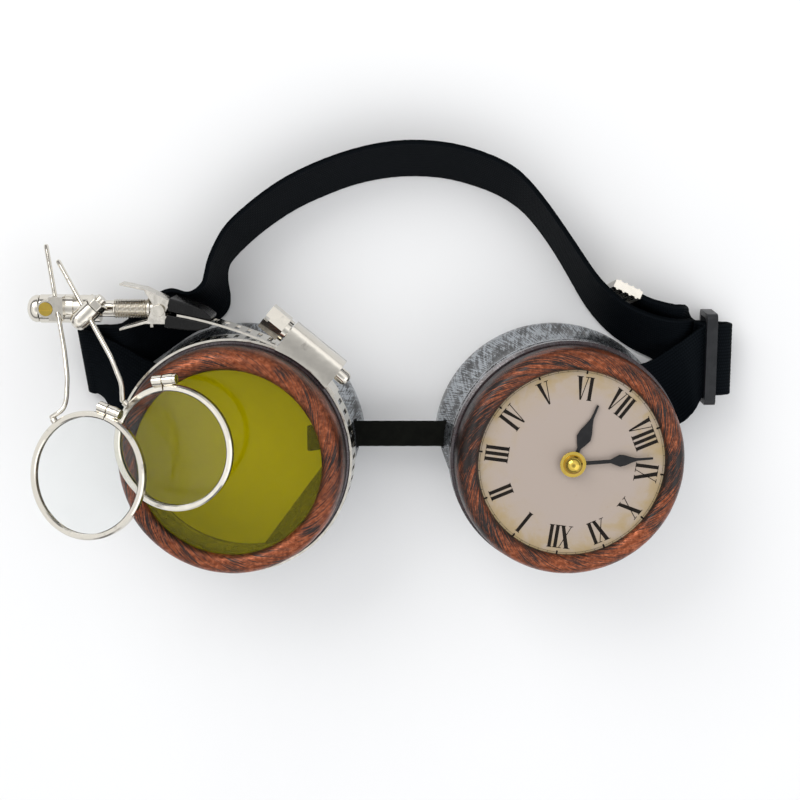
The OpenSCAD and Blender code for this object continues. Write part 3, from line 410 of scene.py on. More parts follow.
def copper_over_black(side):
    """Copper dragged over black: two crossing sets of fine slanted strokes. Black shows more under the outer edge and
    towards the left and right sides. Painted shade takes copper away towards the inner edge and on the upper left."""
    made, tree, shader, scaled = material("copper_brushed_%s" % ("tinted" if side < 0 else "clock"),
                                          Coat_Weight=0.12, Coat_Roughness=0.15, Specular_IOR_Level=0.28)
    point = in_cup_frame(tree, scaled, side)
    hatch = use(tree, ROUND_STROKES, Vector=point, Rolled=1.0, Slant=0.085, Fineness=1.9, Stretch=0.20, Seed=3.0 + side)
    cross = use(tree, ROUND_STROKES, Vector=point, Rolled=1.0, Slant=0.055, Fineness=2.6, Stretch=0.24, Seed=9.0)
    both = math_node(tree, "ADD", math_node(tree, "MULTIPLY", hatch["Strokes"], 0.62), math_node(tree, "MULTIPLY", cross["Strokes"], 0.38))
    parts = put(tree, "ShaderNodeSeparateXYZ", {0: point}).node.outputs
    # painted shade: the copper thins towards the upper left of the ring, so it is darker there
    corner = math_node(tree, "MULTIPLY_ADD", math_node(tree, "SUBTRACT", parts[1], parts[0]), 0.0007 if side > 0 else 0.0004, 0.0)
    # painted shade: the copper thins towards the inner edge of the roll
    inner = levels(tree, hatch["Way"], 8.5, 12.5, 0.0, 0.11 if side > 0 else 0.07)
    under = levels(tree, hatch["Way"], 1.5, -2.5, 0.0, 0.10)
    flank = math_node(tree, "MULTIPLY", math_node(tree, "MULTIPLY", parts[0], parts[0]), (0.085 if side > 0 else 0.045) / 31 ** 2)
    # less holds the painted shade of the inner edge and upper left together with the black under the outer edge and on
    # the sides
    less = math_node(tree, "ADD", math_node(tree, "ADD", math_node(tree, "ADD", inner, under), corner), flank)
    reach = math_node(tree, "ADD", both, math_node(tree, "MULTIPLY", math_node(tree, "SUBTRACT", hatch["Patches"], 0.5), 0.30))
    # cover carries that painted shade into the colour, the metal share and the bumps
    cover = levels(tree, math_node(tree, "SUBTRACT", reach, less), 0.425, 0.50)
    tone = put(tree, "ShaderNodeTexNoise", {"Vector": point, "Scale": 0.9, "Detail": 4.0, "Roughness": 0.65})
    copper = ramp(tree, tone, [(0.3, (0.13, 0.029, 0.010)), (0.5, (0.26, 0.070, 0.028)), (0.74, (0.48, 0.155, 0.072))])
    base = mixed(tree, cover, (0.010, 0.006, 0.005, 1), copper)
    tree.links.new(base, shader.inputs["Base Color"])
    tree.links.new(math_node(tree, "MULTIPLY", cover, 0.75), shader.inputs["Metallic"])
    grain = use(tree, FINE_GRAIN, Vector=point, Size=1.4, Low=0.30, High=0.48)
    tree.links.new(grain["Roughness"], shader.inputs["Roughness"])
    bump(tree, shader, math_node(tree, "ADD", math_node(tree, "MULTIPLY", cover, 0.5), both), 0.5, 0.10)
    return made


def silver_over_black(side):
    """Gunmetal brushed up the cup over black: fine strokes along the axis, a dark reddish band behind the ring, and
    black inside. The inside is what lies within the middle of the round wall and of the nose flat."""
    made, tree, shader, scaled = material("silver_brushed_%s" % ("tinted" if side < 0 else "clock"), Coat_Weight=0.5, Coat_Roughness=0.16)
    point = in_cup_frame(tree, scaled, side)
    axial = use(tree, ROUND_STROKES, Vector=point, Slant=0.006, Fineness=4.6, Stretch=0.13, Seed=5.0)
    coarse = use(tree, ROUND_STROKES, Vector=point, Slant=-0.008, Fineness=1.5, Stretch=0.09, Seed=7.0)
    reach = math_node(tree, "ADD", math_node(tree, "ADD", math_node(tree, "MULTIPLY", axial["Strokes"], 0.6),
                                             math_node(tree, "MULTIPLY", coarse["Strokes"], 0.4)),
                      math_node(tree, "MULTIPLY", math_node(tree, "SUBTRACT", axial["Patches"], 0.5), 0.45))
    cover = levels(tree, reach, 0.455, 0.535)
    groove = levels(tree, axial["Height"], 21.2, 22.3)
    groove_top = levels(tree, axial["Height"], 27.5, 26.0)
    base = mixed(tree, cover, (0.006, 0.007, 0.009, 1), (0.40, 0.43, 0.46, 1))
    reddish = mixed(tree, math_node(tree, "MULTIPLY", math_node(tree, "MULTIPLY", groove, groove_top), 0.82), base, (0.045, 0.026, 0.028, 1))
    parts = put(tree, "ShaderNodeSeparateXYZ", {0: point}).node.outputs
    radius = math_node(tree, "SQRT", math_node(tree, "ADD", math_node(tree, "MULTIPLY", parts[0], parts[0]),
                                               math_node(tree, "MULTIPLY", parts[1], parts[1])))
    wall = math_node(tree, "MAXIMUM", math_node(tree, "MULTIPLY_ADD", parts[2], -0.217, 32.1),
                     levels(tree, parts[2], 24.0, 26.0, 29.5, 28.0))
    nose = math_node(tree, "ADD", math_node(tree, "MULTIPLY", parts[0], -side * math.cos(math.radians(37.4))),
                     math_node(tree, "MULTIPLY", parts[1], -math.sin(math.radians(37.4))))
    inside = math_node(tree, "MULTIPLY", math_node(tree, "LESS_THAN", radius, wall),
                       math_node(tree, "LESS_THAN", nose, math_node(tree, "MULTIPLY_ADD", parts[2], 0.404, 23.1)))
    tree.links.new(mixed(tree, inside, reddish, (0.010, 0.010, 0.011, 1)), shader.inputs["Base Color"])
    bare = math_node(tree, "SUBTRACT", 1.0, inside)
    tree.links.new(math_node(tree, "MULTIPLY", math_node(tree, "MULTIPLY", cover, bare), 0.95), shader.inputs["Metallic"])
    grain = use(tree, FINE_GRAIN, Vector=point, Size=1.2, Low=0.22, High=0.36)
    tree.links.new(grain["Roughness"], shader.inputs["Roughness"])
    bump(tree, shader, axial["Strokes"], 0.35, 0.1)
    return made


def plated(name, colour, low=0.12, high=0.26, size=1.0, height=0.03, dark=(0.16, 0.14, 0.12)):
    """Nickel, steel or brass plate: full metal, smudged roughness and a little darker tarnish."""
    made, tree, shader, scaled = material(name, Metallic=1.0)
    grain = use(tree, FINE_GRAIN, Vector=scaled, Size=size, Low=low, High=high)
    stain = levels(tree, grain["Smudge"], 0.62, 0.84, 0.0, 0.45)
    tree.links.new(mixed(tree, stain, (*colour, 1), (*dark, 1)), shader.inputs["Base Color"])
    tree.links.new(grain["Roughness"], shader.inputs["Roughness"])
    dents = put(tree, "ShaderNodeTexNoise", {"Vector": scaled, "Scale": 0.32 * size, "Detail": 1.0})
    bump(tree, shader, math_node(tree, "MULTIPLY_ADD", dents, 14.0, grain["Height"]), 0.25, height)
    return made


def coated(name, colour, second, low, high, size=1.0, height=0.05, **constants):
    """Paint, plastic or rubber: two close tones, uneven roughness, fine bumps and dust."""
    made, tree, shader, scaled = material(name, **constants)
    grain = use(tree, FINE_GRAIN, Vector=scaled, Size=size, Low=low, High=high)
    tone = mixed(tree, levels(tree, grain["Smudge"], 0.35, 0.7), (*colour, 1), (*second, 1))
    specks = use(tree, DUST, Vector=scaled, Share=0.05, Cell=1.3)
    tree.links.new(mixed(tree, math_node(tree, "MULTIPLY", specks["Mask"], 0.08), tone, (0.5, 0.5, 0.5, 1)), shader.inputs["Base Color"])
    tree.links.new(grain["Roughness"], shader.inputs["Roughness"])
    bump(tree, shader, grain["Height"], 0.4, height)
    return made


def woven(name):
    made, tree, shader, scaled = material(name, Specular_IOR_Level=0.02)
    own = put(tree, "ShaderNodeUVMap", uv_map="UVMap")
    cloth = use(tree, WEAVE, Vector=own, Cords=1.15, Picks=1.7)
    tone = mixed(tree, cloth["Shade"], (0.0014, 0.0020, 0.0027, 1), (0.0056, 0.0076, 0.0100, 1))
    specks = use(tree, DUST, Vector=scaled, Share=0.06, Cell=1.1)
    tree.links.new(mixed(tree, math_node(tree, "MULTIPLY", specks["Mask"], 0.06), tone, (0.3, 0.3, 0.32, 1)), shader.inputs["Base Color"])
    tree.links.new(levels(tree, cloth["Shade"], 0.0, 1.0, 0.75, 0.5), shader.inputs["Roughness"])
    bump(tree, shader, cloth["Height"], 0.6, 0.12)
    return made


def clear(name, colour, low, high, ior=1.48, clearness=1.0):
    """Glass with a plain transmission, uneven gloss and a few dust specks in the gloss only."""
    made, tree, shader, scaled = material(name, Transmission_Weight=clearness, IOR=ior)
    grain = use(tree, FINE_GRAIN, Vector=scaled, Size=0.5, Low=low, High=high)
    tree.links.new(mixed(tree, levels(tree, grain["Smudge"], 0.3, 0.8, 0.0, 1.0), (*colour, 1), (*[c * 0.97 for c in colour], 1)),
                   shader.inputs["Base Color"])
    specks = use(tree, DUST, Vector=scaled, Share=0.03, Cell=0.9)
    tree.links.new(math_node(tree, "ADD", grain["Roughness"], math_node(tree, "MULTIPLY", specks["Mask"], 0.2)), shader.inputs["Roughness"])
    return made


def aged_card():
    """Pinkish grey card: warmer and yellower towards its rim, with foxed blotches and fine paper grain."""
    made, tree, shader, scaled = material("aged_card", Specular_IOR_Level=0.4)
    point = in_cup_frame(tree, scaled, CLOCK)
    flat = put(tree, "ShaderNodeVectorMath", {0: point, 1: (1, 1, 0)}, operation="MULTIPLY")
    radius = put(tree, "ShaderNodeVectorMath", {0: flat}, out=1, operation="LENGTH")
    blot = put(tree, "ShaderNodeTexNoise", {"Vector": point, "Scale": 0.16, "Detail": 5.0, "Roughness": 0.6, "Distortion": 0.5})
    rim = levels(tree, math_node(tree, "ADD", radius, math_node(tree, "MULTIPLY", math_node(tree, "SUBTRACT", blot, 0.5), 22.0)), 14.0, 29.0)
    tone = ramp(tree, rim, [(0.0, (0.385, 0.320, 0.278)), (0.5, (0.385, 0.312, 0.242)), (1.0, (0.365, 0.268, 0.130))])
    fox = put(tree, "ShaderNodeTexNoise", {"Vector": point, "Scale": 0.42, "Detail": 6.0, "Roughness": 0.7})
    spots = math_node(tree, "MULTIPLY", levels(tree, fox, 0.60, 0.74), math_node(tree, "ADD", math_node(tree, "MULTIPLY", rim, 0.4), 0.06))
    fibre = put(tree, "ShaderNodeTexNoise", {"Vector": point, "Scale": 6.0, "Detail": 4.0})
    tree.links.new(mixed(tree, spots, tone, (0.26, 0.15, 0.06, 1)), shader.inputs["Base Color"])
    tree.links.new(levels(tree, fibre, 0.3, 0.7, 0.48, 0.62), shader.inputs["Roughness"])
    bump(tree, shader, fibre, 0.2, 0.02)
    return made


COPPER = {side: copper_over_black(side) for side in (TINTED, CLOCK)}
SILVER = {side: silver_over_black(side) for side in (TINTED, CLOCK)}
NICKEL = plated("nickel_plate", (0.70, 0.665, 0.595), 0.08, 0.19)
STEEL = plated("clip_plate", (0.66, 0.63, 0.57), 0.16, 0.34, 1.3, 0.05)
BRASS = plated("polished_brass", (0.60, 0.43, 0.085), 0.06, 0.16, 1.0, 0.02, (0.35, 0.22, 0.06))
DISC = plated("dial_backing", (0.35, 0.35, 0.36), 0.35, 0.5)
HAND = coated("hand_paint", (0.006, 0.006, 0.007), (0.010, 0.010, 0.011), 0.3, 0.5, 1.5, 0.02, Specular_IOR_Level=0.25)
INK = coated("dial_ink", (0.007, 0.0055, 0.0045), (0.016, 0.012, 0.009), 0.5, 0.7, 2.0, 0.01, Specular_IOR_Level=0.1)
BRIDGE = coated("bridge_strip_rubber", (0.0035, 0.0038, 0.0030), (0.0060, 0.0064, 0.0050), 0.5, 0.75, 1.6, 0.05, Specular_IOR_Level=0.04)
PLASTIC = coated("slider_plastic", (0.008, 0.009, 0.011), (0.014, 0.015, 0.018), 0.35, 0.55, 1.0, 0.05, Specular_IOR_Level=0.35)
RUBBER = coated("sleeve_rubber", (0.0022, 0.0022, 0.0022), (0.0045, 0.0045, 0.0045), 0.20, 0.38, 0.6, 0.35, Specular_IOR_Level=0.25)
WEBBING = woven("elastic_webbing")
OLIVE = clear("olive_glass", (1.0, 0.91, 0.004), 0.0, 0.02, 1.25, 0.97)
LENS = clear("loupe_glass", (0.95, 0.965, 0.96), 0.0, 0.02, 1.25)
CARD = aged_card()

# ---------------------------------------------------------------- front rings
ring_profile = filleted([[28.95, RING_LOW], [30.5, RING_LOW], [31.0, RING_LOW + 1.0], [31.0, RING_LOW + 4.9],
                         [30.4, RING_LOW + 7.4], [28.9, RING_LOW + 8.75], [27.2, RING_HIGH], [25.9, RING_HIGH - 0.6],
                         [25.2, RING_HIGH - 1.6], [25.2, 32.25], [28.95, 32.25]],
                        [0.3, 0.5, 1.0, 2.0, 1.8, 1.4, 1.2, 0.9, 0.8, 0.15, 0.2], 6)


def ring_wave(turn, r, z):
    """Hand-finished unevenness: three slow waves of a few hundredths of a millimetre, only on the outer skin."""
    skin = np.clip((z - 27) / 4, 0, 1) * (r > 25.6)
    return skin * (0.02 * np.sin(7 * turn + z) + 0.015 * np.sin(19 * turn - 2 * z) + 0.012 * np.sin(41 * turn + 3 * z) - 0.03)


for side, word in ((TINTED, "tinted"), (CLOCK, "clock")):
    points, quads, uv = turned(ring_profile, lambda p, s=side: in_cup(s, p), 256, True, ring_wave)
    piece(word + "_ring_turned", mesh_from(word + "_ring_turned", points, quads, uv), COPPER[side], word + "_bezel",
          (word + "_front_ring",), 60)
    softened(word + "_eyecup", SILVER[side], 0.25, 3, 28, 40)

frame["nodes"]["tinted_lens"].data.materials.clear()
frame["nodes"]["tinted_lens"].data.materials.append(OLIVE)
frame["nodes"]["dial_disc"].data.materials.clear()
frame["nodes"]["dial_disc"].data.materials.append(DISC)
frame["nodes"]["dial_card"].data.materials.clear()
frame["nodes"]["dial_card"].data.materials.append(CARD)


# ---------------------------------------------------------------- dial print
def numeral_strokes(word):
    """Strokes of a Roman numeral, one unit tall, each as four corners; thick and thin as in a book face. Gives the strokes and the width."""
    thick, thin, foot = 0.15, 0.035, 0.03
    strokes, x = [], 0.0
    for letter in word:
        if letter == "I":
            strokes += [[(x, 0), (x + thick, 0), (x + thick, 1), (x, 1)]]
            strokes += [[(x - 0.035, y), (x + thick + 0.035, y), (x + thick + 0.035, y + foot), (x - 0.035, y + foot)] for y in (0, 1 - foot)]
            x += thick + 0.10
        else:
            w = 0.46
            low, high = (x + w * 0.5, x + 0.0) if letter == "V" else (x + w - thick, x + 0.0)
            strokes += [[(low - (0.03 if letter == "V" else 0), 0), (low + (0.03 if letter == "V" else thick), 0),
                         (high + thick + 0.03, 1), (high, 1)]]
            base = x + w * 0.5 if letter == "V" else x
            strokes += [[(base, 0), (base + thin, 0), (x + w, 1), (x + w - thin, 1)]]
            strokes += [[(x - 0.05, 1 - foot), (x + thick + 0.08, 1 - foot), (x + thick + 0.08, 1), (x - 0.05, 1)],
                        [(x + w - 0.13, 1 - foot), (x + w + 0.05, 1 - foot), (x + w + 0.05, 1), (x + w - 0.13, 1)]]
            if letter == "X":
                strokes += [[(x - 0.05, 0), (x + 0.13, 0), (x + 0.13, foot), (x - 0.05, foot)],
                            [(x + w - thick - 0.05, 0), (x + w + 0.05, 0), (x + w + 0.05, foot), (x + w - thick - 0.05, foot)]]
            x += w + 0.07
    return np.array(strokes, float), x - 0.085


def slabs(corners, low, high):
    """Thin prisms: each row of four corners gets a bottom at low and a top at high, and its six faces."""
    n = len(corners)
    bottom = np.concatenate([corners, np.full((n, 4, 1), low)], -1)
    top = np.concatenate([corners, np.full((n, 4, 1), high)], -1)
    points = np.concatenate([bottom, top], 1).reshape(-1, 3)
    one = np.array([[3, 2, 1, 0], [4, 5, 6, 7], [0, 1, 5, 4], [1, 2, 6, 5], [2, 3, 7, 6], [3, 0, 4, 7]])
    return points, (one[None] + 8 * np.arange(n)[:, None, None]).reshape(-1, 4)


CARD_TOP = NECK_TOP + 2.0
print_corners = []
numeral_high, numeral_reach = 6.3, 20.4
for number, word in enumerate(["I", "II", "III", "IV", "V", "VI", "VII", "VIII", "IX", "X", "XI", "XII"], 1):
    angle = math.radians(90 - 8.5 - 30 * (number - 6))
    strokes, width = numeral_strokes(word)
    outward, right = np.array([math.cos(angle), math.sin(angle)]), np.array([math.sin(angle), -math.cos(angle)])
    x = (strokes[..., 0] - width / 2) * numeral_high
    y = (strokes[..., 1] - 0.5) * numeral_high + numeral_reach
    print_corners.append(x[..., None] * right + y[..., None] * outward)
ticks = np.radians(90 - 8.5 - 6 * np.arange(60))
heavy = (np.arange(60) % 5 == 0)
tick_half = np.where(heavy, 0.24, 0.05)
tick_in, tick_out = np.where(heavy, 24.3, 24.75), np.full(60, 25.3)
direction = np.stack([np.cos(ticks), np.sin(ticks)], -1)
sideways = np.stack([np.sin(ticks), -np.cos(ticks)], -1)
print_corners.append(np.stack([direction * tick_in[:, None] - sideways * tick_half[:, None],
                               direction * tick_in[:, None] + sideways * tick_half[:, None],
                               direction * tick_out[:, None] + sideways * tick_half[:, None],
                               direction * tick_out[:, None] - sideways * tick_half[:, None]], 1))
arc = np.linspace(0, 2 * math.pi, 181)
for inner, outer in ((24.7, 24.77), (25.2, 25.3)):
    lo, hi = arc[:-1], arc[1:]
    print_corners.append(np.stack([np.stack([r * np.cos(a), r * np.sin(a)], -1)
                                   for r, a in ((inner, lo), (outer, lo), (outer, hi), (inner, hi))], 1))
points, quads = slabs(np.concatenate(print_corners), CARD_TOP + 0.002, CARD_TOP + 0.03)
piece("dial_print", mesh_from("dial_print", home(in_cup(CLOCK, points)), quads), INK, "goggles", (), 30)

for node in ("hour_hand", "minute_hand"):
    softened(node, HAND, 0.09, 2, 40, 40)
softened("hands_pin", BRASS, 0.06, 2, 40, 45)

# ---------------------------------------------------------------- loupes
LOUPES = {"front": ([-80.6, 0, 46], -10, -20, 129), "rear": ([-59.2, 6, 40.5], -2, -15.5, 140)}
glass_edge = 15.62


def glass_profile():
    """A lens: both faces are shallow arcs of height 0.8 mm, closed by a ground edge 1 mm thick."""
    r = np.linspace(0, 14.95, 28)
    top = 0.5 + 0.8 * (1 - (r / 14.95) ** 2)
    upper = np.stack([r, top], 1)
    rim = filleted([[14.95, 0.5], [glass_edge, 0.5], [glass_edge, -0.5], [14.95, -0.5]], 0.12, 3, False)
    return np.concatenate([upper[:-1], rim, upper[::-1][1:] * [1, -1]])


for word, (centre, tilt_x, tilt_y, _) in LOUPES.items():
    points, quads, uv = turned(glass_profile(), lambda p, c=centre, a=tilt_x, b=tilt_y: in_loupe(c, a, b, p), 128, False)
    piece(word + "_lens_ground", mesh_from(word + "_lens_ground", points, quads, uv), LENS, word + "_loupe",
          (word + "_loupe_glass",), 40, 0.001)
    softened(word + "_loupe_ring", NICKEL, 0.2, 3, 25, 40)
    softened(word + "_loupe_screw", NICKEL, 0.08, 2, 35, 40)


def rim_point(spec, turn, reach=17.8 + 0.65):
    centre, tilt_x, tilt_y, _ = spec
    a = math.radians(turn)
    return in_loupe(centre, tilt_x, tilt_y, [reach * math.cos(a), reach * math.sin(a), 0])


front_hole, front_dir = np.array([-91.7, 40.8, 22.9]), unit([7.4, -25.2, 18])
rear_hole, rear_dir = np.array([-83.2, 39.2, 25.3]), unit([4.9, -6.9, 5.3])
stem_routes = {
    "front": [front_hole - 18.9 * front_dir, front_hole + 12.8 * front_dir, [-87.3, 23.7, 34.4], [-87, 18.4, 38.2],
              [-87.6, 16, 40], rim_point(LOUPES["front"], 129)],
    "rear": [rear_hole - 18.4 * rear_dir, rear_hole + 15.5 * rear_dir, [-72.8, 22, 35.8], rim_point(LOUPES["rear"], 140)]}


def densified(points, step):
    """Points added evenly along each straight stretch, about step apart."""
    made = [np.linspace(a, b, max(2, int(np.linalg.norm(b - a) / step) + 1))[:-1] for a, b in zip(points[:-1], points[1:])]
    return np.concatenate(made + [points[-1:]])


for word, route in stem_routes.items():
    path = densified(filleted(np.array([list(p) for p in route], float), 1.6, 6, False), 1.5)
    points, quads, uv = tube(path, 0.65, 24)
    piece(word + "_stem_wire", mesh_from(word + "_stem_wire", points, quads, uv), NICKEL, word + "_loupe",
          (word + "_stem",), 60, 0.001)


# ---------------------------------------------------------------- arm
def threaded(start, end, radius, depth, step, samples, sides=48):
    """A screw thread: radius less depth times a triangle wave of (way along / step less turn / full turn), faded at both ends."""
    along = np.linspace(start, end, samples)[:, None]
    turn = np.linspace(0, 2 * math.pi, sides, endpoint=False)[None]
    phase = (along - start) / step - turn / (2 * math.pi)
    wave = np.abs((phase % 1) * 2 - 1)
    fade = np.clip((along - start) / 0.5, 0, 1) * np.clip((end - along) / 0.5, 0, 1)
    r = radius - depth * (1 - (1 - wave) * fade)
    return np.broadcast_to(along, r.shape), r, np.broadcast_to(turn, r.shape)


def arm_point(along, r, turn):
    """The rod lies along X: the way along is towards -X, the turn goes round it."""
    return np.stack([-along, ARM_Y + r * np.cos(turn), ARM_Z + r * np.sin(turn)], -1)


plain = lambda rows: [np.repeat(np.array(rows, float)[:, k:k + 1], 48, 1) for k in (0, 1)]
turn_row = np.linspace(0, 2 * math.pi, 48, endpoint=False)[None]
thread_a, thread_r_, thread_t = threaded(67.8, 77.1, 2.65, 0.34, 0.67, 190)
head_a, head_r = plain([[66.4, 0.001], [66.4, 1.35], [66.55, 1.5], [67.7, 1.5], [67.8, 2.2]])
neck_a, neck_r_ = plain([[77.15, 2.3], [77.3, 2.25], [90, 2.25], [98.2, 2.25], [98.3, 2.1], [98.3, 0.001]])
along = np.concatenate([head_a, thread_a, neck_a])
radius = np.concatenate([head_r, thread_r_, neck_r_])
points = arm_point(along, radius, np.broadcast_to(turn_row, along.shape))
quads, uv = grid(along.shape, False, True)
piece("arm_rod_threaded", mesh_from("arm_rod_threaded", home(points).reshape(-1, 3), quads, uv / [len(along), 48]), NICKEL,
      "goggles", ("arm_rod",), 50, 0.004)

for node, width in {"arm_washer": 0.12, "arm_end_cap": 0.3, "front_collar": 0.4, "rear_collar": 0.4, "pinch_bolt": 0.2,
                    "pinch_nut": 0.35, "clamp_housing": 0.9, "clamp_screw": 0.45, "clamp_band": 0.06, "clip_pin": 0.1,
                    "strap_end_crimp": 0.12}.items():
    softened(node, NICKEL, width, 2 + round(4 * width), 30, 36)
for node in ("clip_fixed_jaw", "clip_moving_jaw"):
    softened(node, STEEL, 0.1, 2, 30, 40)
frame["nodes"]["clip_spring"].data.materials.clear()
frame["nodes"]["clip_spring"].data.materials.append(STEEL)
for node in ("front_set_screw", "rear_set_screw"):
    softened(node, BRASS, 0.12, 2, 30, 40)
for node in ("fixed_jaw_sleeve", "moving_jaw_sleeve"):
    softened(node, RUBBER, 0.5, 4, 25, 50)
softened("strap_slider", PLASTIC, 0.3, 3, 30, 40)


# ---------------------------------------------------------------- straps
def curve_through(stations, steps):
    """Catmull-Rom curve through stations of any width: half of 2b + (c-a)t + (2a-5b+4c-d)t^2 + (3b-a-3c+d)t^3."""
    s = np.asarray(stations, float)
    a, b = np.concatenate([s[:1], s[:-2]]), s[:-1]
    c, d = s[1:], np.concatenate([s[2:], s[-1:]])
    t = (np.arange(steps) / steps)[None, :, None]
    a, b, c, d = (x[:, None] for x in (a, b, c, d))
    p = 0.5 * (2 * b + (c - a) * t + (2 * a - 5 * b + 4 * c - d) * t * t + (3 * b - a - 3 * c + d) * t ** 3)
    return np.concatenate([p.reshape(-1, s.shape[1]), s[-1:]])


def width_dir(s):
    """The way across a ribbon from its azimuth and its lean away from upright."""
    az, lean = np.radians(s[..., 3]), np.radians(s[..., 4])
    return np.stack([np.sin(lean) * np.cos(az), np.sin(lean) * np.sin(az), np.cos(lean)], -1)


def turn_route(mid, az, lean, start, out, r, stretch, steps):
    """Half a turn round a bar: middle plus r cos a towards the start side, plus r stretch sin a outward."""
    a = np.radians(180 * np.arange(steps + 1) / steps)[:, None]
    p = np.asarray(mid, float) + r * np.cos(a) * np.asarray(start) + r * stretch * np.sin(a) * np.asarray(out)
    return np.concatenate([p, np.tile([az, lean], (steps + 1, 1))], 1)


def beside(route, i, across, rise):
    """A station moved across a ribbon and up its width."""
    way, wide = unit(route[i + 1, :3] - route[i - 1, :3]), width_dir(route[i])
    return np.concatenate([route[i, :3] + unit(np.cross(wide, way)) * across + wide * rise, route[i, 3:]])


def ribbon(route, width, thick, steps, cords, edge=0.55, ridge=0.045):
    """A woven ribbon: across it the half thickness is even with shallow cords and falls off in a round edge;
    each section stands on the route's width direction, and nothing goes below the rest plane."""
    s = curve_through(route, steps)
    way, wide = unit(np.gradient(s[:, :3], axis=0)), width_dir(s)
    normal = unit(np.cross(way, wide))
    low = np.abs(wide[:, 2]) * width / 2 + np.abs(normal[:, 2]) * thick / 2 + 0.05
    mid = s[:, :3].copy()
    mid[:, 2] = np.maximum(mid[:, 2], low)
    t = np.concatenate([[-1, -0.994, -0.978, -0.955], np.linspace(-0.93, 0.93, cords * 4 + 1), [0.955, 0.978, 0.994, 1]])
    half = thick / 2 * np.sqrt(np.clip(1 - np.clip((np.abs(t) - 1 + edge * thick / width) / (edge * thick / width), 0, 1) ** 2, 0, 1))
    half = half - ridge * (0.5 - 0.5 * np.cos(t / 0.93 * cords * math.pi)) * (np.abs(t) < 0.93)
    across = np.concatenate([t, t[::-1][1:-1]]) * width / 2
    off = np.concatenate([half, -half[::-1][1:-1]])
    length = np.concatenate([[0], np.cumsum(np.linalg.norm(np.diff(mid, axis=0), axis=1))])
    fray = 1 - 0.006 * np.sin(length * 2.1) * np.sin(length * 0.37)
    points = mid[:, None] + wide[:, None] * (across[None] * fray[:, None])[..., None] + normal[:, None] * off[None, :, None]
    n, m = len(mid), len(across)
    quads, steps_uv = grid((n, m), False, True)
    around = np.concatenate([across, across[:1]])
    uv = np.stack([length[steps_uv[..., 0].astype(int)], around[steps_uv[..., 1].astype(int)] + 50], -1)
    k = len(t)
    j = np.arange(1, k - 1)
    def end_cap(row):
        """Quads between the two skins of an end section."""
        top, low_side = row * m + np.arange(k), row * m + (m - np.arange(k)) % m
        low_side[k - 1] = row * m + k - 1
        a = np.stack([top[:-1], top[1:], low_side[1:], low_side[:-1]], 1)
        return a[1:-1]
    caps = [end_cap(0), end_cap(n - 1)[:, ::-1]]
    quads = np.concatenate([quads] + caps)
    uv = np.concatenate([uv] + [np.repeat(np.stack([np.zeros(len(c)), np.zeros(len(c))], -1)[:, None], 4, 1) for c in caps])
    return home(points).reshape(-1, 3), quads, uv, (s, mid, wide, normal, length)


STRAP_W, STRAP_T = 20.0, 1.3
fold_az, fold_lean = 94, 70
fold_wide = width_dir(np.array([0, 0, 0, fold_az, fold_lean], float))
fold_out = unit(np.array([-1.0, 0, 0]) - (np.array([-1.0, 0, 0]) @ fold_wide) * fold_wide)
fold_front = unit(np.cross(fold_wide, fold_out))
head_left = [[-69.2, 12.2, 6.5, 65, 90], [-72, 13.5, 6.5, 65, 90], [-75, 15, 6.7, 68, 88], [-79, 18.6, 7, 80, 80],
             [-83, 21.9, 7.1, 90, 73]]
head_round = [[-82.4, 24.2, 4.3, 94, 70], [-80, 24.8, 4.8, 93, 64], [-76.2, 26.2, 6, 94, 55],
              [-72.4, 28.8, 7, 102, 48], [-67.6, 32.8, 7, 115, 48], [-62.2, 36.6, 7, 121, 48],
              [-57.4, 38.7, 7.1, 132, 48], [-53.9, 40.3, 7.7, 148, 41], [-51.9, 42.7, 8.8, 162, 26],
              [-50.6, 46.2, 9.8, 160, 13], [-49.4, 51.4, 9.9, 140, 13], [-44.9, 58.1, 9.6, 127, 21],
              [-38.6, 63.8, 9.4, 117, 24],
              [-30.8, 69.2, 9.2, 112, 26], [-23, 73.1, 9.1, 107, 27.5], [-14, 76.5, 9, 102, 28],
              [-5, 78.6, 9, 97, 29], [3.7, 79.3, 8.9, 90, 29.5], [12.8, 78.6, 9, 84, 29],
              [21.3, 76.4, 9, 76, 28], [29.3, 72.8, 9.2, 68, 25], [36, 67, 9.7, 58, 18],
              [42, 59.4, 9.9, 48, 15], [46.9, 52.2, 10, 38, 15], [50.7, 46.4, 9.9, 38, 17],
              [54.7, 41.2, 9.7, 42, 22], [58.9, 37, 9.3, 50, 27], [63.1, 34, 8.9, 58, 32],
              [68, 31.4, 8.4, 69, 37], [73.4, 29.4, 7.9, 76, 43], [77.4, 27.1, 7, 82, 60],
              [80.4, 25.1, 5.95, 88, 82], [83, 24.3, 5.65, 90, 90]]
adjust_start = [[69.2, 12.2, 6.5, 115, 90], [72, 13.5, 6.5, 115, 90], [75.4, 15.4, 7.9, 113, 90],
                [79.8, 19.9, 10.9, 102, 90], [82.2, 22.6, 10.9, 94, 90], [84, 23.9, 10.3, 90, 90]]
SLIDER = [85.5, 24.1, 7.2]
sewn_r = 0.8 + 0.1 + STRAP_T / 2
outer_r = sewn_r + STRAP_T + 0.1
head_main = curve_through(head_round, 2)
head_loop = np.concatenate([head_main, turn_route(SLIDER, 90, 90, [0, 0, -1], [1, 0, 0], sewn_r, 1, 10)])
last = len(head_main) - 1
head_sewn = [beside(head_loop, last, -2.4, 0), beside(head_loop, last - 1, -1.9, 0), beside(head_loop, last - 2, -STRAP_T - 0.45, 0)]
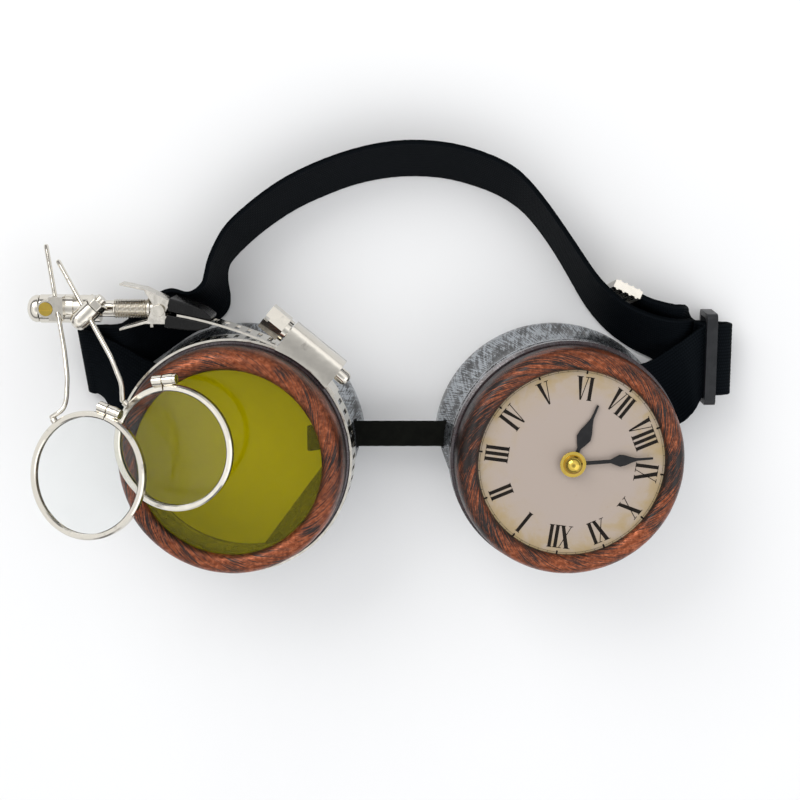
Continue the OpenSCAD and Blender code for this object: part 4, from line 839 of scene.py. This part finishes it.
adjust_loose = curve_through([[83, 24.3, 4, 90, 90], [82, 24.5, 3.75, 89, 88], [81, 25.2, 3.5, 89, 86],
                              [80, 26.5, 3.4, 87, 81], [79, 28.2, 3.8, 85, 75], [78, 29.8, 4.9, 83, 67], [77, 31.1, 6.1, 82, 58],
                              [76, 32.2, 7.2, 80, 50], [74.6, 33.6, 8.2, 78, 41], [72.6, 35, 9, 76, 33], [69.2, 37.3, 9.7, 73, 24],
                              [66.6, 39.1, 10, 71, 18], [65.6, 39.65, 10.05, 70, 17]], 2)
loose_dir = unit(adjust_loose[-1, :3] - adjust_loose[-2, :3])
loose_wide = width_dir(adjust_loose[-1])
loose_wide = unit(loose_wide - (loose_wide @ loose_dir) * loose_dir)
loose_turn = [math.degrees(math.atan2(loose_wide[1], loose_wide[0])), math.degrees(math.acos(loose_wide[2]))]
further = [np.concatenate([adjust_loose[-1, :3] + d * loose_dir, loose_turn]) for d in (0.8, 1.4 + 8.0)]
head_route = np.concatenate([curve_through(head_left, 2),
                             turn_route([-85.4, 23.4, 5.6], fold_az, fold_lean, fold_front, fold_out, 1.5, 1.6, 8), head_loop, head_sewn])
adjust_route = np.concatenate([curve_through(adjust_start, 2),
                               turn_route(SLIDER, 90, 90, [0, 0, 1], [1, 0, 0], outer_r, 2, 12), adjust_loose, further])
for name, route, node, steps in (("head_strap_webbing", head_route, "head_strap", 6), ("adjuster_webbing", adjust_route, "adjuster_strap", 6)):
    points, quads, uv, facts = ribbon(route, STRAP_W, STRAP_T, steps, 17)
    piece(name, mesh_from(name, points, quads, uv), WEBBING, "goggles", (node,), 60)
    print(name, "length mm", round(float(facts[4][-1]), 1))

# nose bridge: same section without cords, ends bent up inside the eyecups
tip = CUP_X - 17.9
bridge_line = filleted(np.array([[-tip, 3.1, 15.0], [8 - tip, 3.1, 9.0], [tip - 8, 3.1, 9.0], [tip, 3.1, 15.0]], float), 2.5, 6, False)
bridge_line = densified(bridge_line, 0.8)
bridge_route = np.concatenate([bridge_line, np.tile([90.0, 90.0], (len(bridge_line), 1))], 1)
points, quads, uv, _ = ribbon(bridge_route, 7.2, 1.6, 1, 6, 0.5, 0.0)
piece("nose_bridge_strip", mesh_from("nose_bridge_strip", points, quads, uv), BRIDGE, "goggles", ("nose_bridge",), 60)

# ---------------------------------------------------------------- table top, light and camera
floor_mesh = bpy.data.meshes.new("table_top")
floor_mesh.from_pydata([(-3, -3, 0), (3, -3, 0), (3, 3, 0), (-3, 3, 0)], [], [(0, 1, 2, 3)])
floor = bpy.data.objects.new("table_top", floor_mesh)
floor.location.z = -0.00005
bpy.context.scene.collection.objects.link(floor)
pale, tree, shader, scaled = material("pale_table", Specular_IOR_Level=0.2, Roughness=0.6)
soft = put(tree, "ShaderNodeTexNoise", {"Vector": scaled, "Scale": 0.01, "Detail": 2.0})
tree.links.new(mixed(tree, soft, (0.80, 0.805, 0.815, 1), (0.84, 0.845, 0.85, 1)), shader.inputs["Base Color"])
floor_mesh.materials.append(pale)


def lamp(name, place, aim, size, power, colour=(1, 1, 1)):
    """A soft rectangular light at a place, turned towards its aim."""
    data = bpy.data.lights.new(name, "AREA")
    data.shape = "RECTANGLE"
    data.size, data.size_y = size
    data.energy, data.color = power, colour
    obj = bpy.data.objects.new(name, data)
    obj.location = place
    obj.rotation_euler = (Vector(aim) - Vector(place)).to_track_quat("-Z", "Y").to_euler()
    bpy.context.scene.collection.objects.link(obj)
    return obj


world = bpy.data.worlds.new("soft_room")
world.use_nodes = True
sky = world.node_tree
where = put(sky, "ShaderNodeTexCoord", out=0)
height = put(sky, "ShaderNodeSeparateXYZ", {0: where}, out=2)
background = sky.nodes["Background"]
sky.links.new(ramp(sky, math_node(sky, "MULTIPLY_ADD", height, 0.5, 0.5),
                   [(0.0, (0.6, 0.6, 0.61)), (0.5, (0.85, 0.86, 0.88)), (0.57, (0.22, 0.22, 0.23)), (0.64, (0.25, 0.25, 0.26)),
                    (0.73, (1.0, 1.0, 1.0)), (0.86, (1.1, 1.1, 1.1)), (0.93, (1.45, 1.45, 1.46)),
                    (0.975, (0.8, 0.805, 0.815)), (1.0, (0.5, 0.505, 0.515))]),
              background.inputs["Color"])
background.inputs["Strength"].default_value = 0.99
bpy.context.scene.world = world
lamp("window", (-0.5, 0.62, 0.62), (0, 0, 0), (0.7, 0.5), 3.9, (1.0, 0.99, 0.97))
lamp("reflector", (0.75, -0.45, 0.6), (0, 0, 0), (1.1, 1.1), 2.2, (0.97, 0.98, 1.0))

bpy.context.scene.view_settings.view_transform = "Standard"
bpy.context.scene.view_settings.look = "None"
camera_data = bpy.data.cameras.new("camera")
camera_data.lens, camera_data.sensor_width = 76.0, 36.0
camera_data.clip_start, camera_data.clip_end = 0.01, 20
camera = bpy.data.objects.new("camera", camera_data)
camera.location = (0.0041, 0.0765, 0.4704)
camera.rotation_euler = (math.radians(-11.06), 0, 0)
bpy.context.scene.collection.objects.link(camera)
bpy.context.scene.camera = camera
